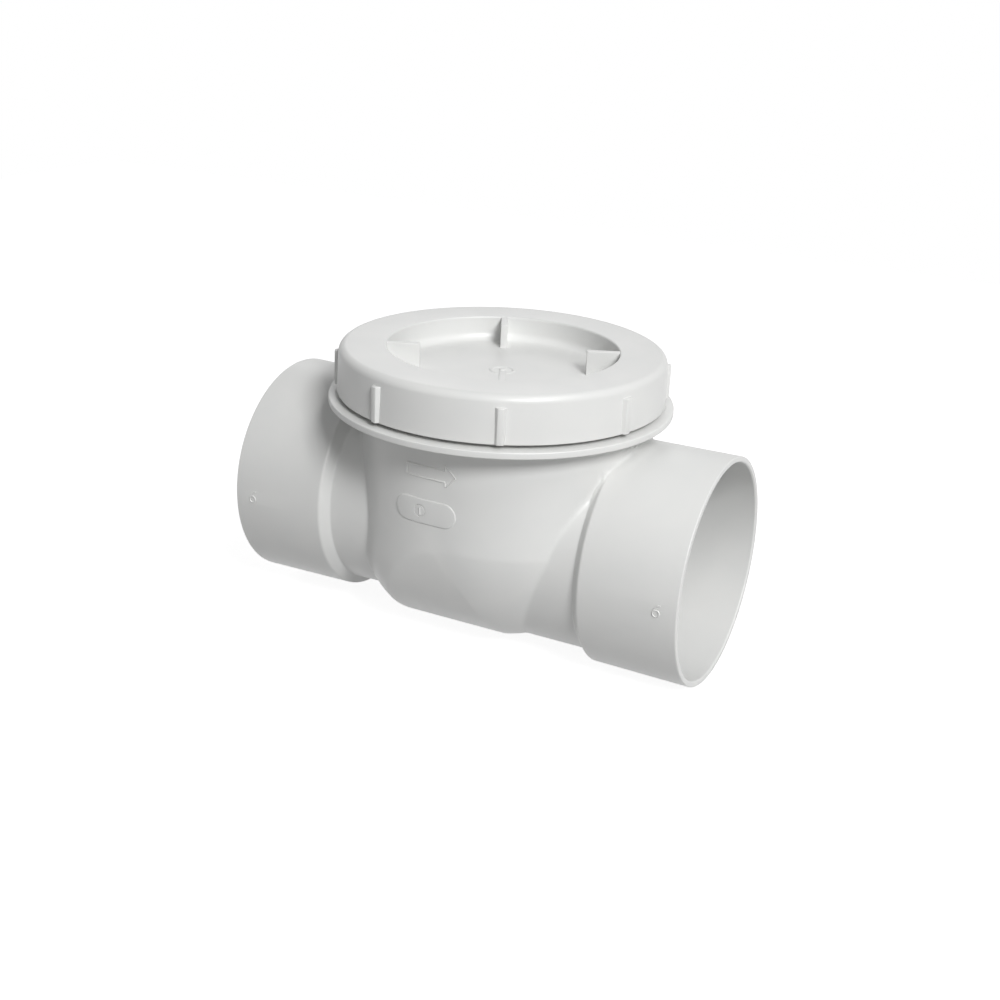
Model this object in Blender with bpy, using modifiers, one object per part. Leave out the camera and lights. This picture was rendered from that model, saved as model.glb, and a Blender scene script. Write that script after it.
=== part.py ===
"""Six inch plastic backwater valve with glued pipe sockets and a screwed access cap.

Waste water enters at x = 0 and leaves at x = BODY_LENGTH. The origin is the middle of the inlet
socket's mouth, +X is the way the water flows and +Z points up through the access cap.
A hinged flapper hangs on a sloping seat and closes when water comes back from the outlet.
"""

import math

import bmesh
import bpy
import numpy as np
from mathutils import Matrix, Vector

# Fits, in metres
GAP = 0.0003
RUNNING_GAP = 0.0005
CUT_OVERRUN = 0.005
MERGE_DISTANCE = 0.00001
WELD_DISTANCE = 0.000002

# Pipe sockets
PIPE_DIAMETER = 0.1594
SOCKET_CLEARANCE = 0.0006
SOCKET_DEPTH = 0.070
SOCKET_WALL = 0.0046
HUB_BACK = 0.004
HUB_DRAFT = 0.011
HUB_SHOULDER = 0.006
MOUTH_EDGE = 0.0008

# Body
WALL = 0.0047
BARREL_STEP = 0.003
OUTLET_DROP = 0.0103
CHAMBER_SWELL = 0.0248
CHAMBER_CENTRE_Z = 0.0122
CHAMBER_STRETCH = 0.012
CHAMBER_HEEL_RUN = 0.904
CHAMBER_HEEL_RISE = 0.688
CHAMBER_BALL_RISE = 0.825
CHAMBER_EDGE = 0.008
CHAMBER_FROM_INLET_HUB = 0.0042
CHAMBER_INTO_OUTLET_HUB = 0.0078
CHAMBER_END_INSET = 0.00005

# Flange, neck and the web that ties the inlet hub to the flange
FLANGE_LIFT = 0.0077
FLANGE_THICKNESS = 0.0049
FLANGE_LIP = 0.0063
FLANGE_EDGE = 0.0009
NECK_STEP = 0.0117
NECK_LEDGE = 0.0033
GROOVE_SIDE = 0.0013
WEB_LENGTH = 0.022
WEB_WIDTH = 0.030

# Access cap
THREAD_SPACE = 0.003
CAP_HEIGHT = 0.0344
CAP_PLATE = 0.0055
CAP_SKIRT_WALL = 0.0045
CAP_SKIRT_DRAFT = 0.03
CAP_FLANGE_GAP = 0.003
CAP_FILLET = 0.006
CAP_CLOCK = math.radians(26.5)
CUP_CLEARANCE = 0.0155
RECESS_DEPTH = 0.0185
RECESS_WALL = 0.0045
RECESS_FOOT = 0.004
RECESS_LIP = 0.0015
FIN_COUNT = 4
FIN_LENGTH = 0.024
FIN_THICKNESS = 0.0052
FIN_DROP = 0.0006
GRIP_COUNT = 8
GRIP_WIDTH = 0.007
GRIP_HEIGHT = 0.0024
GRIP_TOP_DROP = 0.0085
GRIP_EDGE = 0.0008

# Cap seal
SEAL_SECTION = 0.0053
SEAL_GROOVE_DEPTH = 0.0043

# Seat ring
SEAT_TILT = math.radians(8.0)
SEAT_WALL = 0.0045
SEAT_END_GAP = 0.0020
SEAT_PAST_PAD = 0.014
PAD_FROM_CHAMBER = 0.002
PAD_LENGTH = 0.022
PAD_SIDE = 0.002
PAD_RISE = 0.0041

# Hinge
PIN_DIAMETER = 0.008
PIN_OVER_PAD = 0.0099
PIN_AHEAD_OF_SEAT = 0.007
PIN_END = 0.003
EYE_WALL = 0.004
ARM_INNER_Y = 0.012
ARM_THICKNESS = 0.010
SIDE_PLAY = 0.001
EAR_THICKNESS = 0.006
BRACKET_PLATE = 0.004
BRACKET_INSET = 0.001
CLIP_THICKNESS = 0.001
CLIP_RIM = 0.0025
CLIP_GROOVE_DEPTH = 0.0010
CLIP_MOUTH = 0.0040

# Flapper
DISC_OVERLAP = 0.004
DISC_THICKNESS = 0.006
DISC_EDGE = 0.0012
GASKET_THICKNESS = 0.0035
GASKET_INSIDE_SEAT = 0.0115
RETAINER_INSIDE_SEAT = 0.0045
RETAINER_THICKNESS = 0.003
RIB_HEIGHT = 0.006
RIB_END_HEIGHT = 0.0035
RIB_TO_EDGE = 0.030
CROSS_RIB_TO_EDGE = 0.016
CROSS_RIB_THICKNESS = 0.005

# Screws
RETAINER_SCREW_COUNT = 6
RETAINER_SCREW_FROM_BOSS = 0.0077
RETAINER_SCREW_SHANK = 0.0020
RETAINER_SCREW_HEAD = 0.0042
RETAINER_SCREW_HEAD_HEIGHT = 0.0025
RETAINER_SCREW_LENGTH = 0.010
BRACKET_SCREW_FROM_EAR = 0.010
BRACKET_SCREW_SHANK = 0.0025
BRACKET_SCREW_HEAD = 0.0048
BRACKET_SCREW_HEAD_HEIGHT = 0.003
BRACKET_SCREW_LENGTH = 0.0115

# Facets
BODY_STEPS = 56
RING_STEPS = 48
SMALL_STEPS = 20
SCREW_STEPS = 12
ARC_STEPS = 5
CHAMBER_STATIONS = 26
CHAMBER_RAYS = 24
BISECTIONS = 40
TINY = 1e-12
SHARP_ANGLE = math.radians(28)

# Sockets, barrels and chamber, which follow from the pipe
SOCKET_RADIUS = (PIPE_DIAMETER + SOCKET_CLEARANCE) / 2
HUB_RADIUS = SOCKET_RADIUS + SOCKET_WALL
HUB_LENGTH = SOCKET_DEPTH + HUB_BACK
BARREL_RADIUS = SOCKET_RADIUS - BARREL_STEP
BORE_RADIUS = BARREL_RADIUS - WALL
CHAMBER_RADIUS = BARREL_RADIUS + CHAMBER_SWELL
CAP_AXIS_X = HUB_LENGTH + CHAMBER_FROM_INLET_HUB + CHAMBER_RADIUS
OUTLET_LENGTH = CHAMBER_STRETCH + CHAMBER_RADIUS - CHAMBER_INTO_OUTLET_HUB + HUB_LENGTH
BODY_LENGTH = CAP_AXIS_X + OUTLET_LENGTH

# Neck, cap and seal, from the inside out
NECK_RADIUS = CHAMBER_RADIUS + NECK_STEP
NECK_WALL = SEAL_SECTION + 2 * GAP + 2 * GROOVE_SIDE
SEAL_RADIUS = NECK_RADIUS - NECK_WALL / 2
CAP_SKIRT_RADIUS = NECK_RADIUS + THREAD_SPACE + CAP_SKIRT_WALL
FLANGE_RADIUS = CAP_SKIRT_RADIUS + FLANGE_LIP
RECESS_RADIUS = NECK_RADIUS - NECK_WALL - CUP_CLEARANCE - RECESS_WALL
FLANGE_BOTTOM_Z = BARREL_RADIUS + FLANGE_LIFT
FLANGE_TOP_Z = FLANGE_BOTTOM_Z + FLANGE_THICKNESS
CAP_SKIRT_BOTTOM_Z = FLANGE_TOP_Z + CAP_FLANGE_GAP
CAP_TOP_Z = CAP_SKIRT_BOTTOM_Z + CAP_HEIGHT
CAP_UNDERSIDE_Z = CAP_TOP_Z - CAP_PLATE
SEAL_TOP_Z = CAP_UNDERSIDE_Z - GAP
GROOVE_FLOOR_Z = SEAL_TOP_Z - SEAL_SECTION - GAP
NECK_TOP_Z = GROOVE_FLOOR_Z + SEAL_GROOVE_DEPTH

# Hinge bracket and pin, from the arms outwards
PIN_RADIUS = PIN_DIAMETER / 2
EYE_RADIUS = PIN_RADIUS + EYE_WALL
CLIP_RADIUS = PIN_RADIUS + CLIP_RIM
EAR_INNER_Y = ARM_INNER_Y + ARM_THICKNESS + SIDE_PLAY
EAR_OUTER_Y = EAR_INNER_Y + EAR_THICKNESS
PIN_HALF_LENGTH = EAR_OUTER_Y + GAP + CLIP_THICKNESS + GAP + PIN_END
PAD_WIDTH = 2 * (EAR_OUTER_Y + PAD_SIDE)

# Seat ring, whose pad stands just inside the chamber's wall
SEAT_OUTER_RADIUS = BORE_RADIUS - GAP
SEAT_BORE_RADIUS = SEAT_OUTER_RADIUS - SEAT_WALL
PAD_TOP_Z = SEAT_OUTER_RADIUS + PAD_RISE
PAD_BACK_X = (
    CAP_AXIS_X - math.sqrt((CHAMBER_RADIUS - WALL) ** 2 - (PAD_WIDTH / 2) ** 2) + PAD_FROM_CHAMBER
)
PAD_FRONT_X = PAD_BACK_X + PAD_LENGTH
SEAT_X = PAD_FRONT_X + SEAT_PAST_PAD
PIN_ABOVE_SEAT = PAD_TOP_Z + PIN_OVER_PAD
SEAT_CENTRE = Vector((SEAT_X, 0.0, 0.0))
SEAT_TURN = Matrix.Rotation(-SEAT_TILT, 4, "Y")
SEAT_PLACE = Matrix.Translation(SEAT_CENTRE) @ SEAT_TURN
PIN_CENTRE = SEAT_PLACE @ Vector((PIN_AHEAD_OF_SEAT, 0.0, PIN_ABOVE_SEAT))

# Flapper, gasket and retainer, stacked on the seat's plane
DISC_RADIUS = SEAT_OUTER_RADIUS + DISC_OVERLAP
GASKET_BORE_RADIUS = SEAT_BORE_RADIUS - GASKET_INSIDE_SEAT
RETAINER_RADIUS = SEAT_BORE_RADIUS - RETAINER_INSIDE_SEAT
GASKET_FACE = GAP
DISC_FACE = GASKET_FACE + GASKET_THICKNESS + GAP
DISC_BACK = DISC_FACE + DISC_THICKNESS
BOSS_RADIUS = GASKET_BORE_RADIUS - GAP
RETAINER_SCREW_CIRCLE = BOSS_RADIUS - RETAINER_SCREW_FROM_BOSS
ALONG_X = Matrix.Rotation(math.radians(90), 4, "Y")
ALONG_Y = Matrix.Rotation(math.radians(-90), 4, "X")

WHITE_PVC = ("moulded PVC", (0.78, 0.78, 0.77), 0.32, 0.0)
GREY_PVC = ("seat and flapper PVC", (0.62, 0.63, 0.64), 0.38, 0.0)
BLACK_RUBBER = ("nitrile rubber", (0.02, 0.02, 0.022), 0.62, 0.0)
STAINLESS = ("stainless steel", (0.60, 0.60, 0.58), 0.28, 1.0)


def clear_scene():
    for old in list(bpy.data.objects):
        bpy.data.objects.remove(old, do_unlink=True)
    for old in list(bpy.data.collections):
        bpy.data.collections.remove(old)


def new_collection(name):
    collection = bpy.data.collections.new(name)
    bpy.context.scene.collection.children.link(collection)
    return collection


def material(recipe):
    """The Principled material of a (name, colour, roughness, metallic) recipe, made once."""
    name, colour, roughness, metallic = recipe
    found = bpy.data.materials.get(name)
    if found:
        return found
    made = bpy.data.materials.new(name)
    made.use_nodes = True
    shader = made.node_tree.nodes["Principled BSDF"]
    shader.inputs["Base Color"].default_value = (*colour, 1.0)
    shader.inputs["Roughness"].default_value = roughness
    shader.inputs["Metallic"].default_value = metallic
    return made


def evaluated_mesh(thing):
    bpy.context.view_layer.update()
    graph = bpy.context.evaluated_depsgraph_get()
    return bpy.data.meshes.new_from_object(thing.evaluated_get(graph))


def place(thing, matrix):
    thing.matrix_world = matrix
    return thing


def tool_object(name, mesh, matrix=None):
    """An object that only shapes others: it lies in the cutters collection."""
    thing = bpy.data.objects.new(name, mesh)
    CUTTERS.objects.link(thing)
    thing.hide_render = True
    thing.display_type = "WIRE"
    return place(thing, matrix or Matrix.Identity(4))


def arc(centre, radius, start, end, steps=ARC_STEPS):
    """Points (r, z) on a circle about centre from one angle to another, in degrees."""
    angles = [math.radians(start + (end - start) * k / steps) for k in range(steps + 1)]
    return [(centre[0] + radius * math.cos(a), centre[1] + radius * math.sin(a)) for a in angles]


def runs_upward(points):
    """True when the outline (r, z) climbs on its outer side, which would turn it inside out."""
    following = points[1:] + points[:1]
    return sum(a[0] * b[1] - b[0] * a[1] for a, b in zip(points, following)) > 0


def turned(name, points, matrix=None, steps=BODY_STEPS):
    """A solid of revolution: the outline (r, z) is swept about the local Z axis by a Screw."""
    outline = list(reversed(points)) if runs_upward(points) else list(points)
    edges = [(k, k + 1) for k in range(len(outline) - 1)]
    if min(r for r, z in outline) > 0:
        edges.append((len(outline) - 1, 0))
    mesh = bpy.data.meshes.new(name)
    mesh.from_pydata([(r, 0.0, z) for r, z in outline], edges, [])
    thing = tool_object(name, mesh, matrix)
    screw = thing.modifiers.new("turn", "SCREW")
    screw.axis = "Z"
    screw.angle = math.tau
    screw.steps = steps
    screw.render_steps = steps
    screw.use_merge_vertices = True
    screw.merge_threshold = MERGE_DISTANCE
    return thing


def block(name, low, high, matrix=None, edge=0.0):
    """A box between two corners of the local frame, with its edges rounded when edge is given."""
    form = bmesh.new()
    bmesh.ops.create_cube(form, size=1.0)
    low, high = Vector(low), Vector(high)
    for vertex in form.verts:
        vertex.co = Vector(
            low[k] + (vertex.co[k] + 0.5) * (high[k] - low[k]) for k in range(3)
        )
    mesh = bpy.data.meshes.new(name)
    form.to_mesh(mesh)
    form.free()
    thing = tool_object(name, mesh, matrix)
    if edge:
        bevel = thing.modifiers.new("edge", "BEVEL")
        bevel.width = edge
        bevel.segments = 2
    return thing


def rod(name, radius, start, end, matrix=None, steps=SMALL_STEPS):
    """A plain cylinder along the local Z axis."""
    outline = [(0.0, end), (radius, end), (radius, start), (0.0, start)]
    return turned(name, outline, matrix, steps)


def flat_plate(name, outline, thickness, matrix=None):
    """A plate whose flat outline (x, y) is a filled curve, extruded to the thickness."""
    curve = bpy.data.curves.new(name, "CURVE")
    curve.dimensions = "2D"
    curve.fill_mode = "BOTH"
    curve.extrude = thickness / 2
    spline = curve.splines.new("POLY")
    spline.points.add(len(outline) - 1)
    for point, (x, y) in zip(spline.points, outline):
        point.co = (x, y, 0.0, 1.0)
    spline.use_cyclic_u = True
    drawn = bpy.data.objects.new(name + "_curve", curve)
    CUTTERS.objects.link(drawn)
    mesh = evaluated_mesh(drawn)
    bpy.data.objects.remove(drawn)
    form = bmesh.new()
    form.from_mesh(mesh)
    bmesh.ops.remove_doubles(form, verts=form.verts, dist=MERGE_DISTANCE)
    bmesh.ops.recalc_face_normals(form, faces=form.faces)
    form.to_mesh(mesh)
    form.free()
    return tool_object(name, mesh, matrix)


def combine(thing, others, operation):
    for other in others:
        step = thing.modifiers.new(other.name, "BOOLEAN")
        step.operation = operation
        step.solver = "EXACT"
        step.object = other
    return thing


def join(thing, *others):
    return combine(thing, others, "UNION")


def cut(thing, *others):
    return combine(thing, others, "DIFFERENCE")


def weld(mesh):
    """Joins points that the Booleans leave almost on top of each other, and lost triangles."""
    form = bmesh.new()
    form.from_mesh(mesh)
    bmesh.ops.remove_doubles(form, verts=form.verts, dist=WELD_DISTANCE)
    bmesh.ops.dissolve_degenerate(form, edges=form.edges, dist=WELD_DISTANCE)
    bmesh.ops.holes_fill(form, edges=form.edges, sides=3)
    form.to_mesh(mesh)
    form.free()


def finish(name, shape, recipe, parent=None):
    """The finished piece: its modifiers are applied, and it is shaded and given its material."""
    mesh = evaluated_mesh(shape)
    weld(mesh)
    mesh.name = name
    mesh.shade_smooth()
    mesh.set_sharp_from_angle(angle=SHARP_ANGLE)
    mesh.materials.clear()
    mesh.materials.append(material(recipe))
    piece = bpy.data.objects.new(name, mesh)
    VALVE.objects.link(piece)
    piece.matrix_world = shape.matrix_world
    if parent:
        piece.parent = parent
        piece.matrix_parent_inverse = parent.matrix_world.inverted()
    return piece


def pivot(name, matrix):
    """An empty on a joint's axis, which carries what turns or slides there."""
    empty = bpy.data.objects.new(name, None)
    VALVE.objects.link(empty)
    empty.empty_display_size = PIN_HALF_LENGTH
    empty.matrix_world = matrix
    bpy.context.view_layer.update()
    return empty


def turned_about_cap(angle):
    return Matrix.Translation((CAP_AXIS_X, 0.0, 0.0)) @ Matrix.Rotation(angle, 4, "Z")


def hub_outline(reach):
    """Outside of a socket and its barrel, as (radius, distance in from the mouth)."""
    end_radius = HUB_RADIUS - HUB_DRAFT * HUB_LENGTH
    edge = arc((HUB_RADIUS - MOUTH_EDGE, MOUTH_EDGE), MOUTH_EDGE, -90, 0, 2)
    corner = HUB_SHOULDER / 2
    shoulder = arc((end_radius - corner, HUB_LENGTH), corner, 0, 70, 3)
    root = (BARREL_RADIUS, HUB_LENGTH + HUB_SHOULDER)
    return [(0.0, 0.0), *edge, *shoulder, root, (BARREL_RADIUS, reach), (0.0, reach)]


def socket_outline(reach):
    """Inside of a socket and the bore behind it, as (radius, distance in from the mouth)."""
    return [
        (0.0, -CUT_OVERRUN),
        (SOCKET_RADIUS, -CUT_OVERRUN),
        (SOCKET_RADIUS, SOCKET_DEPTH),
        (BORE_RADIUS, SOCKET_DEPTH),
        (BORE_RADIUS, reach),
        (0.0, reach),
    ]


def inlet_frame():
    return ALONG_X


def outlet_frame():
    """Local Z points back up the outlet from its mouth."""
    back = Matrix.Rotation(math.radians(-90), 4, "Y")
    return Matrix.Translation((BODY_LENGTH, 0.0, -OUTLET_DROP)) @ back


def rounded_edge(first, second, cosine, radius):
    """Distance to what two solids share, with the edge between them rounded to the radius.

    The cosine is that of the angle between the directions in which the distances grow.
    """
    a = first + radius
    b = second + radius
    c = np.clip(cosine, -1.0, 1.0 - 1e-6)
    edge = np.sqrt((a**2 + b**2 - 2 * a * b * c) / (1 - c**2)) - radius
    return np.where((a > c * b) & (b > c * a), edge, np.maximum(first, second))


def chamber_distance(x, y, z, radius):
    """Below zero inside the chamber, whose x is measured from the cap axis.

    Seen from above the chamber is a circle stretched towards the outlet. Its floor is a
    trough along X of the same radius. The wall bends into the floor at both ends by a quarter
    ellipse, long at the outlet and in a shorter heel at the inlet, and the edge between
    bend and trough is rounded. The ellipses are given as shares of the radius.
    """
    across = np.hypot(x - np.clip(x, 0.0, CHAMBER_STRETCH), y)
    depth = np.maximum(CHAMBER_CENTRE_Z - z, 0.0)
    around = np.hypot(y, depth)
    run = radius * np.where(x > 0.0, 1.0, CHAMBER_HEEL_RUN)
    rise = radius * np.where(x > 0.0, CHAMBER_BALL_RISE, CHAMBER_HEEL_RISE)
    out = np.maximum(across - (radius - run), 0.0)
    down = np.maximum(depth - (radius - rise), 0.0)
    size = np.maximum(np.hypot(out / run, down / rise), TINY)
    slope = np.maximum(np.hypot(out / run**2, down / rise**2), TINY / run)
    bend = (size**2 - size) / slope
    lengths = np.maximum(across * around, TINY)
    cosine = (y**2 * out / run**2 + depth * down * across / rise**2) / (slope * lengths)
    return rounded_edge(around - radius, bend, cosine, CHAMBER_EDGE)


def chamber_form(name, radius, top_z):
    """Loft of upright sections along X: each is a fan of rays from the chamber's centre line."""
    spread = np.linspace(-1.0, 1.0, CHAMBER_STATIONS)
    reach = radius + CHAMBER_STRETCH / 2
    ends = reach - CHAMBER_END_INSET
    stations = CHAMBER_STRETCH / 2 + ends * np.sin(spread * math.pi / 2)
    angles = np.linspace(-math.pi / 2, math.pi / 2, CHAMBER_RAYS + 1)
    x = np.repeat(stations[:, None], len(angles), axis=1)
    near = np.zeros_like(x)
    far = np.full_like(x, 2 * radius)
    for _ in range(BISECTIONS):
        middle = (near + far) / 2
        y = middle * np.sin(angles)
        z = CHAMBER_CENTRE_Z - middle * np.cos(angles)
        inside = chamber_distance(x, y, z, radius) < 0
        near = np.where(inside, middle, near)
        far = np.where(inside, far, middle)
    y = near * np.sin(angles)
    z = CHAMBER_CENTRE_Z - near * np.cos(angles)
    y = np.concatenate([y[:, :1], y, y[:, -1:]], axis=1)
    top = np.full((len(stations), 1), top_z)
    z = np.concatenate([top, z, top], axis=1)
    x = np.repeat(stations[:, None], y.shape[1], axis=1)
    points = np.stack([x, y, z], axis=2)
    count = points.shape[1]
    faces = [
        (i * count + j, i * count + (j + 1) % count,
         (i + 1) * count + (j + 1) % count, (i + 1) * count + j)
        for i in range(len(stations) - 1)
        for j in range(count)
    ]
    last = (len(stations) - 1) * count
    faces.append(tuple(reversed(range(count))))
    faces.append(tuple(range(last, last + count)))
    form = bmesh.new()
    verts = [form.verts.new(point) for point in points.reshape(-1, 3).tolist()]
    for face in faces:
        form.faces.new([verts[k] for k in face])
    bmesh.ops.remove_doubles(form, verts=form.verts, dist=2 * MERGE_DISTANCE)
    bmesh.ops.recalc_face_normals(form, faces=form.faces)
    mesh = bpy.data.meshes.new(name)
    form.to_mesh(mesh)
    form.free()
    return tool_object(name, mesh, turned_about_cap(0.0))


def neck_shape():
    """Threaded neck on its flange, whose edges are rounded."""
    rim = FLANGE_RADIUS - FLANGE_EDGE
    outline = [
        (0.0, NECK_TOP_Z),
        (NECK_RADIUS, NECK_TOP_Z),
        (NECK_RADIUS, FLANGE_TOP_Z),
        *arc((rim, FLANGE_TOP_Z - FLANGE_EDGE), FLANGE_EDGE, 90, 0, 2),
        *arc((rim, FLANGE_BOTTOM_Z + FLANGE_EDGE), FLANGE_EDGE, 0, -90, 2),
        (0.0, FLANGE_BOTTOM_Z),
    ]
    return turned("neck_outside", outline, turned_about_cap(0.0))


def neck_bore():
    ledge_z = FLANGE_BOTTOM_Z + NECK_LEDGE
    return rod(
        "neck_bore", NECK_RADIUS - NECK_WALL, ledge_z, NECK_TOP_Z + CUT_OVERRUN,
        turned_about_cap(0.0), BODY_STEPS,
    )


def seal_groove_cutter():
    half = SEAL_SECTION / 2 + GAP
    outline = [
        (SEAL_RADIUS - half, NECK_TOP_Z + CUT_OVERRUN),
        (SEAL_RADIUS + half, NECK_TOP_Z + CUT_OVERRUN),
        (SEAL_RADIUS + half, GROOVE_FLOOR_Z),
        (SEAL_RADIUS - half, GROOVE_FLOOR_Z),
    ]
    return turned("seal_groove", outline, turned_about_cap(0.0))


def build_valve_body():
    """The moulded housing: two sockets on barrels, the chamber, flange and neck."""
    ledge_z = FLANGE_BOTTOM_Z + NECK_LEDGE
    inlet_reach = CAP_AXIS_X - CHAMBER_RADIUS / 2
    outlet_reach = OUTLET_LENGTH - CHAMBER_STRETCH - WALL
    shell = neck_shape()
    web = block(
        "flange_web",
        (HUB_LENGTH - WEB_LENGTH / 2, -WEB_WIDTH / 2, SOCKET_RADIUS + GAP),
        (HUB_LENGTH + WEB_LENGTH / 2, WEB_WIDTH / 2, FLANGE_BOTTOM_Z + FLANGE_THICKNESS / 2),
    )
    join(
        shell,
        chamber_form("chamber_outside", CHAMBER_RADIUS, ledge_z),
        turned("inlet_outside", hub_outline(inlet_reach), inlet_frame()),
        turned("outlet_outside", hub_outline(outlet_reach), outlet_frame()),
        web,
    )
    cut(
        shell,
        chamber_form("chamber_inside", CHAMBER_RADIUS - WALL, ledge_z + GAP),
        neck_bore(),
        turned("inlet_inside", socket_outline(inlet_reach), inlet_frame()),
        turned("outlet_inside", socket_outline(outlet_reach), outlet_frame()),
        seal_groove_cutter(),
    )
    return finish("valve_body", shell, WHITE_PVC)


def cap_outline():
    """Half section of the cap: recess floor, lip, top face, skirt, plate and cup underside."""
    floor_z = CAP_TOP_Z - RECESS_DEPTH
    top_radius = CAP_SKIRT_RADIUS - CAP_SKIRT_DRAFT * (CAP_TOP_Z - CAP_SKIRT_BOTTOM_Z)
    foot = arc((RECESS_RADIUS - RECESS_FOOT, floor_z + RECESS_FOOT), RECESS_FOOT, -90, 0, 3)
    lip = arc((RECESS_RADIUS + RECESS_LIP, CAP_TOP_Z - RECESS_LIP), RECESS_LIP, 180, 90, 2)
    shoulder = arc((top_radius - CAP_FILLET, CAP_TOP_Z - CAP_FILLET), CAP_FILLET, 90, 0, 5)
    skirt_bore = CAP_SKIRT_RADIUS - CAP_SKIRT_WALL
    cup_radius = RECESS_RADIUS + RECESS_WALL
    return [
        (0.0, floor_z),
        *foot,
        *lip,
        *shoulder,
        (CAP_SKIRT_RADIUS, CAP_SKIRT_BOTTOM_Z),
        (skirt_bore, CAP_SKIRT_BOTTOM_Z),
        (skirt_bore, CAP_UNDERSIDE_Z),
        (cup_radius, CAP_UNDERSIDE_Z),
        (cup_radius, floor_z - RECESS_WALL),
        (0.0, floor_z - RECESS_WALL),
    ]


def build_access_cap(carrier):
    """Threaded cap with a dished top, four fins to turn it by and eight grip ribs."""
    cap = turned("cap_turned", cap_outline(), turned_about_cap(CAP_CLOCK))
    floor_z = CAP_TOP_Z - RECESS_DEPTH
    for k in range(FIN_COUNT):
        frame = turned_about_cap(CAP_CLOCK + math.tau * k / FIN_COUNT)
        fin = block(
            f"fin_{k + 1}",
            (-FIN_THICKNESS / 2, -RECESS_RADIUS - RECESS_WALL / 2, floor_z - RECESS_WALL / 2),
            (FIN_THICKNESS / 2, FIN_LENGTH - RECESS_RADIUS, CAP_TOP_Z - FIN_DROP),
            frame,
        )
        join(cap, fin)
    for k in range(GRIP_COUNT):
        frame = turned_about_cap(CAP_CLOCK + math.tau * k / GRIP_COUNT)
        grip = block(
            f"grip_{k + 1}",
            (-GRIP_WIDTH / 2, -CAP_SKIRT_RADIUS - GRIP_HEIGHT, CAP_SKIRT_BOTTOM_Z + GAP),
            (GRIP_WIDTH / 2, -CAP_SKIRT_RADIUS + CAP_SKIRT_WALL / 2, CAP_TOP_Z - GRIP_TOP_DROP),
            frame,
            edge=GRIP_EDGE,
        )
        join(cap, grip)
    return finish("access_cap", cap, WHITE_PVC, carrier)


def build_cap_seal(carrier):
    """Round rubber ring that lies in the neck's groove, under the cap's plate."""
    radius = SEAL_SECTION / 2
    centre = (SEAL_RADIUS, SEAL_TOP_Z - radius)
    section = arc(centre, radius, 90, -270, 10)[:-1]
    ring = turned("seal_turned", section, turned_about_cap(0.0), RING_STEPS)
    return finish("cap_o_ring", ring, BLACK_RUBBER, carrier)


def bracket_screw_places():
    x = PAD_BACK_X + PAD_LENGTH / 2
    return [(x, side * (EAR_INNER_Y - BRACKET_SCREW_FROM_EAR)) for side in (-1, 1)]


def build_seat_ring():
    """Short tube glued in the inlet bore: its end is the sloping seat, its pad takes the hinge."""
    start = SOCKET_DEPTH + SEAT_END_GAP
    end = SEAT_X + DISC_RADIUS * math.tan(SEAT_TILT) + CUT_OVERRUN
    ring = rod("seat_outside", SEAT_OUTER_RADIUS, start, end, ALONG_X, RING_STEPS)
    pad = block(
        "seat_pad",
        (PAD_BACK_X, -PAD_WIDTH / 2, SEAT_BORE_RADIUS / 2),
        (PAD_FRONT_X, PAD_WIDTH / 2, PAD_TOP_Z),
    )
    bore = rod(
        "seat_bore", SEAT_BORE_RADIUS, start - CUT_OVERRUN, end + CUT_OVERRUN, ALONG_X, RING_STEPS
    )
    reach = 2 * DISC_RADIUS
    slope = block("seat_slope", (0.0, -reach, -reach), (reach, reach, reach), SEAT_PLACE)
    join(ring, pad)
    cut(ring, bore, slope)
    depth = PAD_TOP_Z + GAP + BRACKET_PLATE - BRACKET_SCREW_LENGTH - GAP
    for k, (x, y) in enumerate(bracket_screw_places()):
        hole = rod(
            f"pad_hole_{k + 1}", BRACKET_SCREW_SHANK + GAP, depth, PAD_TOP_Z + CUT_OVERRUN,
            Matrix.Translation((x, y, 0.0)),
        )
        cut(ring, hole)
    return finish("seat_ring", ring, GREY_PVC)


def ear_outline():
    """Side view (x, z) of a bracket ear: a foot on the plate that rises to the pin's eye."""
    foot_z = PAD_TOP_Z + GAP
    back_x = PAD_BACK_X + BRACKET_INSET
    front_x = PAD_FRONT_X - BRACKET_INSET
    eye = arc((PIN_CENTRE.x, PIN_CENTRE.z), EYE_RADIUS, -75, 115, 12)
    top_z = foot_z + BRACKET_PLATE + EAR_THICKNESS / 2
    return [
        (front_x, foot_z),
        *eye,
        (back_x + EAR_THICKNESS, top_z),
        (back_x, foot_z + BRACKET_PLATE),
        (back_x, foot_z),
    ]


def build_hinge_bracket():
    """Plate screwed to the seat ring's pad, with an ear at each end for the hinge pin."""
    foot_z = PAD_TOP_Z + GAP
    plate = block(
        "bracket_plate",
        (PAD_BACK_X + BRACKET_INSET, -EAR_OUTER_Y + GAP, foot_z),
        (PAD_FRONT_X - BRACKET_INSET, EAR_OUTER_Y - GAP, foot_z + BRACKET_PLATE),
    )
    upright = Matrix.Rotation(math.radians(90), 4, "X")
    for side in (-1, 1):
        middle = side * (EAR_INNER_Y + EAR_THICKNESS / 2)
        frame = Matrix.Translation((0.0, middle, 0.0)) @ upright
        join(plate, flat_plate(f"ear_{side}", ear_outline(), EAR_THICKNESS, frame))
    pin_hole = rod(
        "ear_bore", PIN_RADIUS + GAP, -EAR_OUTER_Y - CUT_OVERRUN, EAR_OUTER_Y + CUT_OVERRUN,
        Matrix.Translation(PIN_CENTRE) @ ALONG_Y,
    )
    cut(plate, pin_hole)
    for k, (x, y) in enumerate(bracket_screw_places()):
        hole = rod(
            f"plate_hole_{k + 1}", BRACKET_SCREW_SHANK + GAP, foot_z - CUT_OVERRUN,
            foot_z + BRACKET_PLATE + CUT_OVERRUN, Matrix.Translation((x, y, 0.0)),
        )
        cut(plate, hole)
    return finish("hinge_bracket", plate, GREY_PVC)


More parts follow.
